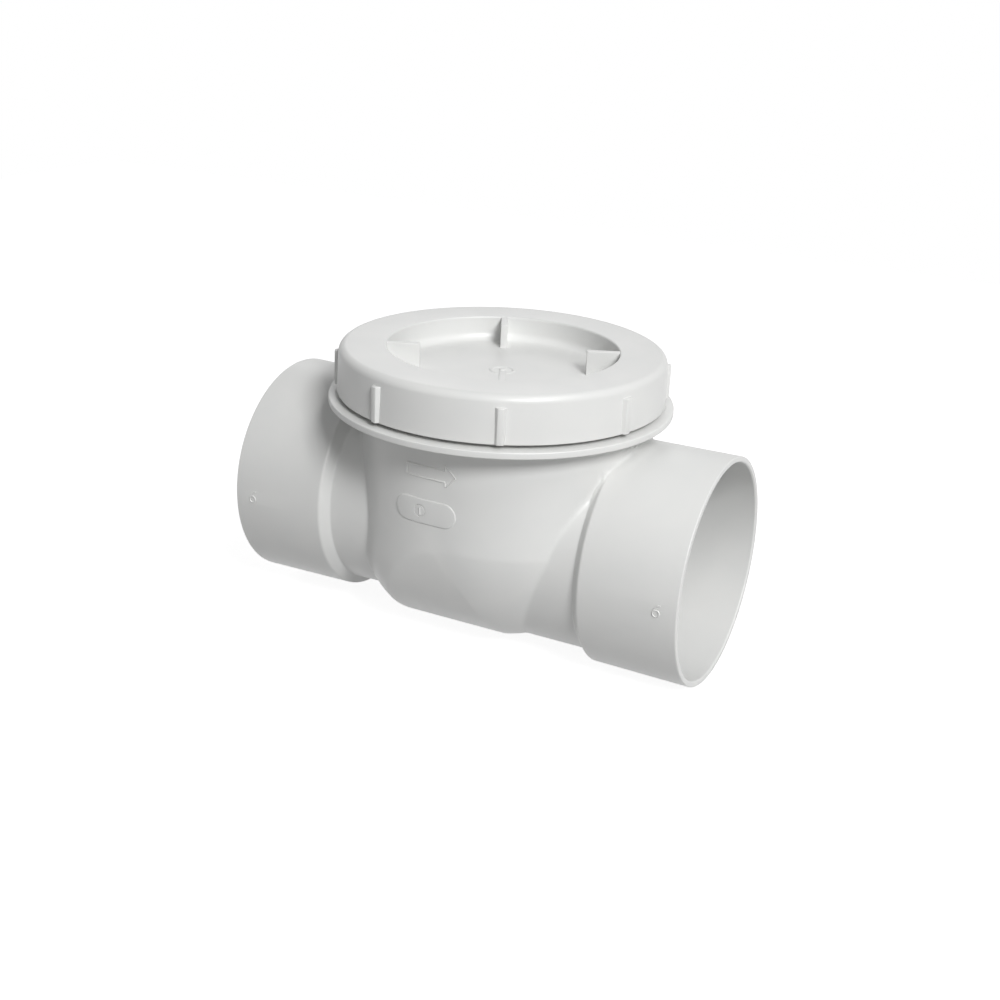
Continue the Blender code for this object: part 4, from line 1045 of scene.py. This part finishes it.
class VALVE_OT_access_cap(Operator):
    """Screwed cap with a dished top, fins to turn it by, grip ribs and a thread in its skirt"""

    bl_idname = "valve.access_cap"
    bl_label = "Access cap"

    def execute(self, context):
        sizes = context.scene.valve_cap
        thread = context.scene.valve_thread
        floor = sizes.top - sizes.recess_depth
        bore = sizes.skirt_radius - sizes.skirt_wall
        cup = sizes.recess_radius + sizes.recess_wall
        underside = sizes.top - sizes.plate
        crest = floor + sizes.gate_height
        start, end = sizes.skirt_bottom + thread.cap_start, underside - thread.cap_end
        upper = rounded([
            (0.0, crest + sizes.gate_height, 0.0),
            (sizes.gate_pip, crest + sizes.gate_height, sizes.pip_edge),
            (sizes.gate_pip + sizes.pip_slope, floor, sizes.pip_slope),
            (sizes.gate_radius - sizes.gate_foot, floor, sizes.gate_edge),
            (sizes.gate_radius - sizes.gate_crest, crest, sizes.gate_edge),
            (sizes.gate_radius + sizes.gate_crest, crest, sizes.gate_edge),
            (sizes.gate_radius + sizes.gate_foot, floor, sizes.gate_edge),
            (sizes.recess_radius, floor, sizes.recess_foot),
            (sizes.recess_radius, sizes.top, sizes.recess_lip),
            (sizes.skirt_radius - sizes.taper, sizes.top, sizes.shoulder),
            (sizes.skirt_radius, sizes.skirt_bottom, sizes.skirt_edge),
            (bore, sizes.skirt_bottom, sizes.skirt_bevel),
            (bore, start - 2 * HAIR, 0.0),
        ], 8)
        lower = rounded([
            (bore, end + 4 * HAIR, 0.0),
            (bore, underside, sizes.plate_foot),
            (cup, underside, sizes.cup_foot),
            (cup, floor - sizes.recess_wall, sizes.recess_wall),
            (0.0, floor - sizes.recess_wall, 0.0),
        ], 4)
        outline, swell = threaded(
            upper, lower, start, end, -thread.cap_ridge, 0.5, CAP_STEPS, thread
        )
        body = turned("cap_body", outline, about_cap(), CAP_STEPS, swell)
        fins = [
            rounded_block(
                "fin",
                (-sizes.fin_thickness / 2, -sizes.recess_radius - sizes.recess_wall / 2,
                 floor - sizes.recess_wall / 2),
                (sizes.fin_thickness / 2, sizes.fin_length - sizes.recess_radius,
                 sizes.top - sizes.fin_drop),
                sizes.fin_rounding, about_cap(sizes.clock + math.tau * k / sizes.fins),
            )
            for k in range(sizes.fins)
        ]
        depth = sizes.grip_height + sizes.skirt_wall / 2
        slope = (sizes.grip_width - sizes.grip_crest) / sizes.grip_height
        root = sizes.grip_crest + slope * depth
        grips = [
            rounded_block(
                "grip",
                (-root / 2, -sizes.skirt_radius - sizes.grip_height,
                 sizes.skirt_bottom + sizes.grip_lift),
                (root / 2, -sizes.skirt_radius + sizes.skirt_wall / 2,
                 sizes.top - sizes.grip_drop),
                sizes.grip_rounding, about_cap(sizes.clock + math.tau * k / sizes.grips),
                pinch=1.0 - sizes.grip_crest / root,
            )
            for k in range(sizes.grips)
        ]
        mesh = carved(body, fins + grips)
        piece("screw_cap", mesh, white_pvc(), "cap", ["access_cap"])
        return {"FINISHED"}


def seat_frame(sizes):
    """Frame on the seat's middle, with X out of its leaning plane towards the outlet."""
    return Matrix.Translation((sizes.seat_place, 0.0, 0.0)) @ Matrix.Rotation(
        -sizes.seat_tilt, 4, "Y"
    )


def pin_frame(sizes):
    """Frame on the hinge pin's middle, leaning as the seat does."""
    return seat_frame(sizes) @ Matrix.Translation((sizes.pin_ahead, 0.0, sizes.pin_height))


def rod(name, radius, start, end, matrix, steps=64, soft=0.0):
    """Round bar along the frame's Z with softened ends."""
    outline = rounded([(0.0, start, 0.0), (radius, start, soft), (radius, end, soft),
                       (0.0, end, 0.0)])
    return turned(name, outline, matrix, steps)


def plate_solid(name, corners, thickness, edge, matrix):
    """Flat plate over corners (x, y, radius) given anticlockwise, with softened rims: each ring
    lies edge * (1 - cos a) inside the outline, at a height of edge * sin a over the last."""
    first, last = np.array(corners[0][:2]), np.array(corners[-1][:2])
    start = (*((first + last) / 2), 0.0)
    outline = filled(rounded([start, *corners, start], 5)[:-1])
    ahead = np.roll(outline, -1, axis=0) - np.roll(outline, 1, axis=0)
    ahead = ahead / np.linalg.norm(ahead, axis=1)[:, None]
    inward = np.stack([-ahead[:, 1], ahead[:, 0]], axis=1)
    turn = np.linspace(0.0, math.pi / 2, 4)
    inset = edge * (1.0 - np.cos(turn))
    rise = thickness / 2 - edge + edge * np.sin(turn)
    inset = np.concatenate([inset[::-1], inset])
    rise = np.concatenate([-rise[::-1], rise])
    flat = outline + inset[:, None, None] * inward
    z = np.repeat(rise[:, None, None], len(outline), axis=1)
    points = np.concatenate([flat, z], axis=2)
    turning = np.array(matrix)
    points = points.reshape(-1, 3) @ turning[:3, :3].T + turning[:3, 3]
    faces = grid_faces(len(rise), len(outline), False, True).tolist()
    total = len(points)
    faces.append(list(range(len(outline)))[::-1])
    faces.append(list(range(total - len(outline), total)))
    mesh = bpy.data.meshes.new(name)
    mesh.from_pydata(points, [], faces)
    return mesh


def screw(name, shank, head, height, length_below, matrix):
    """Pan head screw that stands on the frame's origin, with a hexagon socket in its head."""
    outline = rounded([
        (0.0, -length_below, 0.0),
        (shank / 2, -length_below, 0.0),
        (shank, -length_below + shank / 2, 0.0),
        (shank, 0.0, 0.0),
        (head, 0.0, 0.0002),
        (head, height, height * 0.45),
        (0.0, height, 0.0),
    ])
    body = turned(name, outline, matrix, SCREW_STEPS)
    width = head * 0.48
    socket = turned("socket", np.array([
        (0.0, height * 0.35), (width * 0.9, height * 0.42), (width, height * 0.5),
        (width, height + OVERRUN), (0.0, height + OVERRUN),
    ]), matrix, 6)
    return carved(body, (), [socket])


def seat_mesh(sizes, holes):
    """Tube with a leaning end and a pad on top for the hinge."""
    end = sizes.seat_place + sizes.disc * math.tan(sizes.seat_tilt) + OVERRUN
    tube = rod(
        "seat", sizes.seat_radius, sizes.seat_start, end, ALONG_X, ROUND_STEPS, sizes.seat_edge
    )
    pad = rounded_block(
        "pad",
        (sizes.pad_back, -sizes.pad_width / 2, sizes.seat_bore / 2),
        (sizes.pad_back + sizes.pad_length, sizes.pad_width / 2, sizes.pad_top),
        sizes.edge,
    )
    reach = 2 * sizes.disc
    bore = turned("bore", rounded([
        (0.0, sizes.seat_start - OVERRUN, 0.0),
        (sizes.seat_bore + sizes.lead_in, sizes.seat_start - OVERRUN, 0.0),
        (sizes.seat_bore + sizes.lead_in, sizes.seat_start, 0.0),
        (sizes.seat_bore, sizes.seat_start + 2 * sizes.lead_in, sizes.lead_in),
        (sizes.seat_bore, end + OVERRUN, 0.0),
        (0.0, end + OVERRUN, 0.0),
    ]), ALONG_X)
    slope = rounded_block("slope", (0.0, -reach, -reach), (reach, reach, reach), HAIR,
                          seat_frame(sizes))
    return carved(tube, [pad], [bore, slope, *holes])


def bracket_mesh(sizes, holes):
    """Plate screwed to the seat ring's pad, with an ear at each end for the pin."""
    foot = sizes.pad_top + sizes.gap
    back = sizes.pad_back + sizes.plate_inset
    front = sizes.pad_back + sizes.pad_length - sizes.plate_inset
    outer = sizes.ear_inner + sizes.ear_thickness
    plate = rounded_block(
        "bracket", (back, -outer + sizes.gap, foot), (front, outer - sizes.gap, foot + sizes.plate),
        sizes.edge,
    )
    eye = pin_frame(sizes).translation
    around = np.radians(np.linspace(-75.0, 115.0, 24))
    arc = [(eye.x + sizes.eye * c, eye.z + sizes.eye * s, 0.0)
           for c, s in zip(np.cos(around), np.sin(around))]
    corners = [
        (front, foot, 0.0), *arc,
        (back + sizes.ear_thickness, foot + sizes.plate + sizes.ear_thickness / 2,
         sizes.ear_edge),
        (back, foot + sizes.plate, sizes.ear_edge / 2), (back, foot, 0.0),
    ]
    ears = [
        plate_solid("ear", corners, sizes.ear_thickness, sizes.edge, Matrix.Translation(
            (0.0, side * (sizes.ear_inner + sizes.ear_thickness / 2), 0.0)) @ UPRIGHT)
        for side in (-1, 1)
    ]
    bore = rod("ear_bore", sizes.pin + sizes.gap, -outer - OVERRUN, outer + OVERRUN,
               Matrix.Translation(eye) @ ALONG_Y)
    return carved(plate, ears, [bore, *holes])


def pin_mesh(sizes):
    """Pin with a groove near each end for its retaining ring, and bevelled ends."""
    start = sizes.ear_inner + sizes.ear_thickness + sizes.gap / 2
    end = start + sizes.clip + sizes.gap
    root = sizes.pin - sizes.clip_groove
    half = [
        (sizes.pin, start, 0.0), (root, start, 0.0002), (root, end, 0.0002), (sizes.pin, end, 0.0),
        (sizes.pin, sizes.pin_half, 0.0006), (0.0, sizes.pin_half, 0.0),
    ]
    mirrored = [(r, -y, soft) for r, y, soft in reversed(half)]
    place = Matrix.Translation(pin_frame(sizes).translation)
    return turned("pin", rounded(mirrored + half), place @ ALONG_Y, PIN_STEPS)


def clip_mesh(sizes, side):
    """Slotted retaining ring in a groove of the pin."""
    middle = sizes.ear_inner + sizes.ear_thickness + sizes.gap + sizes.clip / 2
    place = pin_frame(sizes).translation + Vector((0.0, side * middle, 0.0))
    frame_here = Matrix.Translation(place) @ ALONG_Y
    half = sizes.clip / 2
    bore = sizes.pin - sizes.clip_groove + sizes.gap
    rim = sizes.pin + sizes.clip_rim
    ring = turned("clip", rounded([
        (bore, 0.0, 0.0), (bore, -half, 0.0001), (rim, -half, 0.0002), (rim, half, 0.0002),
        (bore, half, 0.0001), (bore, 0.0, 0.0),
    ])[:-1], frame_here, PIN_STEPS)
    mouth = rounded_block(
        "mouth", (-sizes.clip_mouth / 2, 0.0, -sizes.clip),
        (sizes.clip_mouth / 2, 2 * rim, sizes.clip), 0.0004, frame_here,
    )
    return carved(ring, (), [mouth])


def disc_mesh(sizes, holes):
    """Round plate with a boss for the gasket, a rib across it and two arms with the pin's eyes."""
    lean = seat_frame(sizes)
    face = sizes.gap + sizes.gasket + sizes.gap
    back = face + sizes.disc_thickness
    boss = sizes.gasket_bore - sizes.gap
    disc = turned("disc", rounded([
        (0.0, back, 0.0), (sizes.disc, back, sizes.disc_edge), (sizes.disc, face, sizes.edge / 2),
        (boss, face, sizes.gap), (boss, sizes.gap, sizes.gap), (0.0, sizes.gap, 0.0),
    ]), lean @ ALONG_X)
    side_back = back - sizes.pin_ahead
    sunk = side_back - sizes.disc_thickness / 2
    reach = sizes.disc - sizes.rib_inset
    foot = -sizes.pin_height - reach
    around = np.radians(np.linspace(0.0, 250.0, 30))
    corners = [
        *[(sizes.eye * c, sizes.eye * s, 0.0) for c, s in zip(np.cos(around), np.sin(around))],
        (sunk, sizes.disc - sizes.pin_height - sizes.rim_inset, 0.0), (sunk, foot, 0.0),
        (side_back + sizes.rib_end, foot, sizes.rib_tip),
        (side_back + sizes.rib, -sizes.pin_height + reach, sizes.rib_crook),
    ]
    arms = [
        plate_solid("arm", corners, sizes.arm_thickness, sizes.edge, pin_frame(sizes) @ (
            Matrix.Translation((0.0, side * (sizes.arm_inner + sizes.arm_thickness / 2), 0.0))
        ) @ UPRIGHT)
        for side in (-1, 1)
    ]
    across = sizes.disc - sizes.cross_inset
    cross = rounded_block(
        "cross_rib", (back - sizes.disc_thickness / 2, -across, -sizes.cross_rib / 2),
        (back + sizes.rib_end, across, sizes.cross_rib / 2), sizes.edge, lean,
    )
    outside = sizes.arm_inner + sizes.arm_thickness + OVERRUN
    bore = rod("arm_bore", sizes.pin + sizes.running, -outside, outside,
               pin_frame(sizes) @ ALONG_Y)
    return carved(disc, [*arms, cross], [bore, *holes])


def gasket_mesh(sizes):
    """Flat rubber ring with soft edges."""
    near, far = sizes.gap, sizes.gap + sizes.gasket
    rim = sizes.disc - sizes.rim_inset
    return turned("gasket", rounded([
        (sizes.gasket_bore, (near + far) / 2, 0.0), (sizes.gasket_bore, near, 0.0004),
        (rim, near, 0.0008), (rim, far, 0.0008), (sizes.gasket_bore, far, 0.0004),
        (sizes.gasket_bore, (near + far) / 2, 0.0),
    ])[:-1], seat_frame(sizes) @ ALONG_X)


def retainer_mesh(sizes, holes):
    """Plate that clamps the gasket, with a shallow moulded step round its middle."""
    front = -sizes.retainer_thickness
    step = 0.0005
    plate = turned("retainer", rounded([
        (0.0, 0.0, 0.0), (sizes.retainer, 0.0, 0.0002), (sizes.retainer, front, 0.0009),
        (0.55 * sizes.retainer, front, 0.0), (0.54 * sizes.retainer, front + step, 0.0003),
        (0.0, front + step, 0.0),
    ]), seat_frame(sizes) @ ALONG_X)
    return carved(plate, (), holes)


class VALVE_OT_seat_and_hinge(Operator):
    """Seat ring, hinge bracket, pin, retaining rings and bracket screws, and the cap's seal"""

    bl_idname = "valve.seat_and_hinge"
    bl_label = "Seat and hinge"

    def execute(self, context):
        sizes = context.scene.valve_inner
        x = sizes.pad_back + sizes.pad_length / 2
        y = sizes.ear_inner - sizes.pan_inset
        top = sizes.pad_top + sizes.gap + sizes.plate + sizes.gap
        places = [Matrix.Translation((x, side * y, top)) for side in (-1, 1)]
        holes = [
            rod("hole", sizes.pan_shank + sizes.gap, -sizes.pan_hole, OVERRUN, place, SCREW_STEPS)
            for place in places
        ]
        grey = grey_pvc()
        steel = turned_steel()
        piece("seat_tube", seat_mesh(sizes, holes), grey, "housing", ["seat_ring"])
        piece("pin_bracket", bracket_mesh(sizes, holes), grey, "housing",
              ["hinge_bracket"])
        piece("pin", pin_mesh(sizes), steel, "housing", ["hinge_pin"])
        for side, word in ((-1, "left"), (1, "right")):
            piece(f"retaining_ring_{word}", clip_mesh(sizes, side), steel, "housing",
                  [f"pin_clip_{word}"])
            mesh = screw(
                "pan_head", sizes.pan_shank, sizes.pan_head, sizes.pan_height, sizes.pan_length,
                places[(side + 1) // 2],
            )
            piece(f"pan_head_{word}", mesh, steel, "housing",
                  [f"bracket_screw_{word}"])
        section = (SEAL_HIGH.z - SEAL_LOW.z) / 2
        middle = (SEAL_HIGH.x - SEAL_LOW.x) / 2 - section
        around = np.linspace(0.0, math.tau, 28, endpoint=False)
        ring = np.stack([middle + section * np.cos(around),
                         (SEAL_LOW.z + SEAL_HIGH.z) / 2 + section * np.sin(around)], axis=1)
        piece("seal_ring", turned("seal", ring, about_cap()), nitrile_rubber(), "cap_seal",
              ["cap_o_ring"])
        return {"FINISHED"}


class VALVE_OT_flapper(Operator):
    """Hinged flapper with its gasket, the plate that clamps it, and that plate's screws"""

    bl_idname = "valve.flapper"
    bl_label = "Flapper"

    def execute(self, context):
        sizes = context.scene.valve_inner
        frames = []
        for k in range(sizes.screws):
            around = math.tau * (k + 0.5) / sizes.screws
            spot = Vector((0.0, math.sin(around), math.cos(around))) * sizes.screw_circle
            frames.append(seat_frame(sizes) @ Matrix.Translation(spot) @ UPSTREAM)
        grey = grey_pvc()
        hole = sizes.clamp_shank + sizes.gap
        bottom = sizes.retainer_thickness - sizes.clamp_length - sizes.gap
        blind, through = (
            [rod("hole", hole, start, end, turn, SCREW_STEPS) for turn in frames]
            for start, end in ((bottom, OVERRUN), (-OVERRUN, 2 * OVERRUN))
        )
        piece("flapper_plate", disc_mesh(sizes, blind), grey, "flapper",
              ["flapper_disc"])
        piece("gasket_ring", gasket_mesh(sizes), nitrile_rubber(), "flapper",
              ["flapper_gasket"])
        piece("clamp_plate", retainer_mesh(sizes, through), grey, "flapper",
              ["gasket_retainer"])
        seat = Matrix.Translation((0.0, 0.0, sizes.retainer_thickness + sizes.gap))
        for k, turn in enumerate(frames):
            mesh = screw(
                "clamp_screw", sizes.clamp_shank, sizes.clamp_head, sizes.clamp_height,
                sizes.clamp_length, turn @ seat,
            )
            piece(f"clamp_screw_{k + 1}", mesh, turned_steel(), "flapper",
                  [f"retainer_screw_{k + 1}"])
        return {"FINISHED"}


class VALVE_OT_stage(Operator):
    """Camera at the photograph's angle, pale floor, soft lamps and even light from all round"""

    bl_idname = "valve.stage"
    bl_label = "Stage"

    def execute(self, context):
        sizes = context.scene.valve_stage
        add_camera(sizes)
        add_floor(sizes)
        add_world(sizes)
        for name in ("key", "top", "back"):
            azimuth, elevation, size, watts = (
                getattr(sizes, f"{name}_{part}")
                for part in ("azimuth", "elevation", "size", "power")
            )
            toward = seen_from(azimuth, elevation)
            add_lamp(name + "_lamp", toward, sizes.lamp_distance, size, watts)
        context.scene.view_settings.view_transform = "Standard"
        return {"FINISHED"}


def seen_from(azimuth, elevation):
    """Direction from the valve: azimuth 0 is its front, -Y, and grows towards the outlet, +X."""
    level = math.cos(elevation)
    return Vector((math.sin(azimuth) * level, -math.cos(azimuth) * level, math.sin(elevation)))


def add_camera(sizes):
    """Camera that looks from its azimuth and elevation at a spot beside the cap's axis, from
    its distance, and leans by its roll."""
    back = seen_from(sizes.azimuth, sizes.elevation)
    level = Vector((math.cos(sizes.azimuth), math.sin(sizes.azimuth), 0.0))
    upward = back.cross(level)
    right = math.cos(sizes.roll) * level + math.sin(sizes.roll) * upward
    up = math.cos(sizes.roll) * upward - math.sin(sizes.roll) * level
    data = bpy.data.cameras.new("camera")
    data.sensor_width = 36.0
    data.lens = sizes.focal
    data.clip_start = 0.05
    data.clip_end = 50.0
    camera = bpy.data.objects.new("camera", data)
    bpy.context.scene.collection.objects.link(camera)
    turn = Matrix((right, up, back)).transposed().to_4x4()
    camera.matrix_world = Matrix.Translation(LOOKED_AT + back * sizes.distance) @ turn
    bpy.context.scene.camera = camera


def add_floor(sizes):
    """Plain pale floor under the lower hub. The camera, a gloss or glass sees it lifted to
    white, with the valve's shadow on it; the light that it throws back is that of its paint."""
    half = sizes.floor_half
    low = BODY_LOW.z - 2 * HAIR
    mesh = bpy.data.meshes.new("floor")
    corners = [(-half, -half, low), (half, -half, low), (half, half, low), (-half, half, low)]
    mesh.from_pydata(corners, [], [(0, 1, 2, 3)])
    floor = bpy.data.objects.new("floor", mesh)
    bpy.context.scene.collection.objects.link(floor)
    material, tree, output = new_material("matt_paint")
    paint = add_node(tree, "ShaderNodeBsdfDiffuse", inputs={"Color": (*sizes.floor, 1.0)})
    lift = add_node(
        tree, "ShaderNodeEmission", links={"Strength": seen_directly(tree, 0.0, sizes.lift)}
    )
    both = add_node(
        tree, "ShaderNodeAddShader", links={0: paint.outputs["BSDF"], 1: lift.outputs["Emission"]}
    )
    tree.links.new(both.outputs["Shader"], output.inputs["Surface"])
    mesh.materials.append(material)


def seen_directly(tree, unseen, seen):
    """Socket with one value for rays from the camera, a gloss or glass, and one for the rest."""
    path = add_node(tree, "ShaderNodeLightPath")
    either = add_node(
        tree, "ShaderNodeMath", {"operation": "MAXIMUM"},
        links={0: path.outputs["Is Camera Ray"], 1: path.outputs["Is Glossy Ray"]},
    )
    any_of = add_node(
        tree, "ShaderNodeMath", {"operation": "MAXIMUM"},
        links={0: either.outputs[0], 1: path.outputs["Is Transmission Ray"]},
    )
    value = add_node(
        tree, "ShaderNodeMapRange", inputs={"To Min": unseen, "To Max": seen},
        links={"Value": any_of.outputs[0]},
    )
    return value.outputs["Result"]


def add_world(sizes):
    """Even light from all round, and plain white where the camera, a gloss or glass sees it."""
    world = bpy.data.worlds.new("studio")
    bpy.context.scene.world = world
    world.use_nodes = True
    tree = world.node_tree
    tree.nodes.clear()
    light = add_node(
        tree, "ShaderNodeBackground", inputs={"Color": (1.0, 1.0, 1.0, 1.0)},
        links={"Strength": seen_directly(tree, sizes.ambient, 1.0)},
    )
    output = add_node(tree, "ShaderNodeOutputWorld")
    tree.links.new(light.outputs["Background"], output.inputs["Surface"])


def add_lamp(name, toward, distance, size, watts):
    """Square area lamp that faces the valve's middle from a direction."""
    data = bpy.data.lights.new(name, "AREA")
    data.energy = watts
    data.size = size
    lamp = bpy.data.objects.new(name, data)
    bpy.context.scene.collection.objects.link(lamp)
    lamp.matrix_world = Matrix.Translation(LAMPS_AIM + toward * distance) @ (
        toward.to_track_quat("Z", "Y").to_matrix().to_4x4()
    )


OPERATORS = (
    VALVE_OT_stage,
    VALVE_OT_housing,
    VALVE_OT_access_cap,
    VALVE_OT_seat_and_hinge,
    VALVE_OT_flapper,
)
GROUPS = {
    "valve_housing": ValveHousingSizes,
    "valve_marks": ValveMarkSizes,
    "valve_thread": ValveThreadSizes,
    "valve_cap": ValveCapSizes,
    "valve_inner": ValveInnerSizes,
    "valve_finishes": ValveFinishes,
    "valve_stage": ValveStageSizes,
}


class VALVE_PT_sidebar(Panel):
    """Lists the valve's pieces with their sizes and colours"""

    bl_idname = "VALVE_PT_sidebar"
    bl_label = "Backwater valve"
    bl_space_type = "VIEW_3D"
    bl_region_type = "UI"
    bl_category = "Valve"

    def draw(self, context):
        for operator in OPERATORS:
            self.layout.operator(operator.bl_idname)
        for name, group in GROUPS.items():
            box = self.layout.box()
            box.label(text=name.replace("_", " ").capitalize())
            for key in group.__annotations__:
                box.prop(getattr(context.scene, name), key)


def register():
    """Adds the operators, the sidebar and the sizes to Blender."""
    for kind in (*GROUPS.values(), *OPERATORS, VALVE_PT_sidebar):
        bpy.utils.register_class(kind)
    for name, group in GROUPS.items():
        setattr(bpy.types.Scene, name, PointerProperty(type=group))


def unregister():
    """Takes them away again."""
    for name in GROUPS:
        delattr(bpy.types.Scene, name)
    for kind in reversed((*GROUPS.values(), *OPERATORS, VALVE_PT_sidebar)):
        bpy.utils.unregister_class(kind)


def main():
    """Builds the stage and every piece."""
    register()
    bpy.ops.valve.stage()
    bpy.ops.valve.housing()
    bpy.ops.valve.access_cap()
    bpy.ops.valve.seat_and_hinge()
    bpy.ops.valve.flapper()


if __name__ == "__main__":
    main()
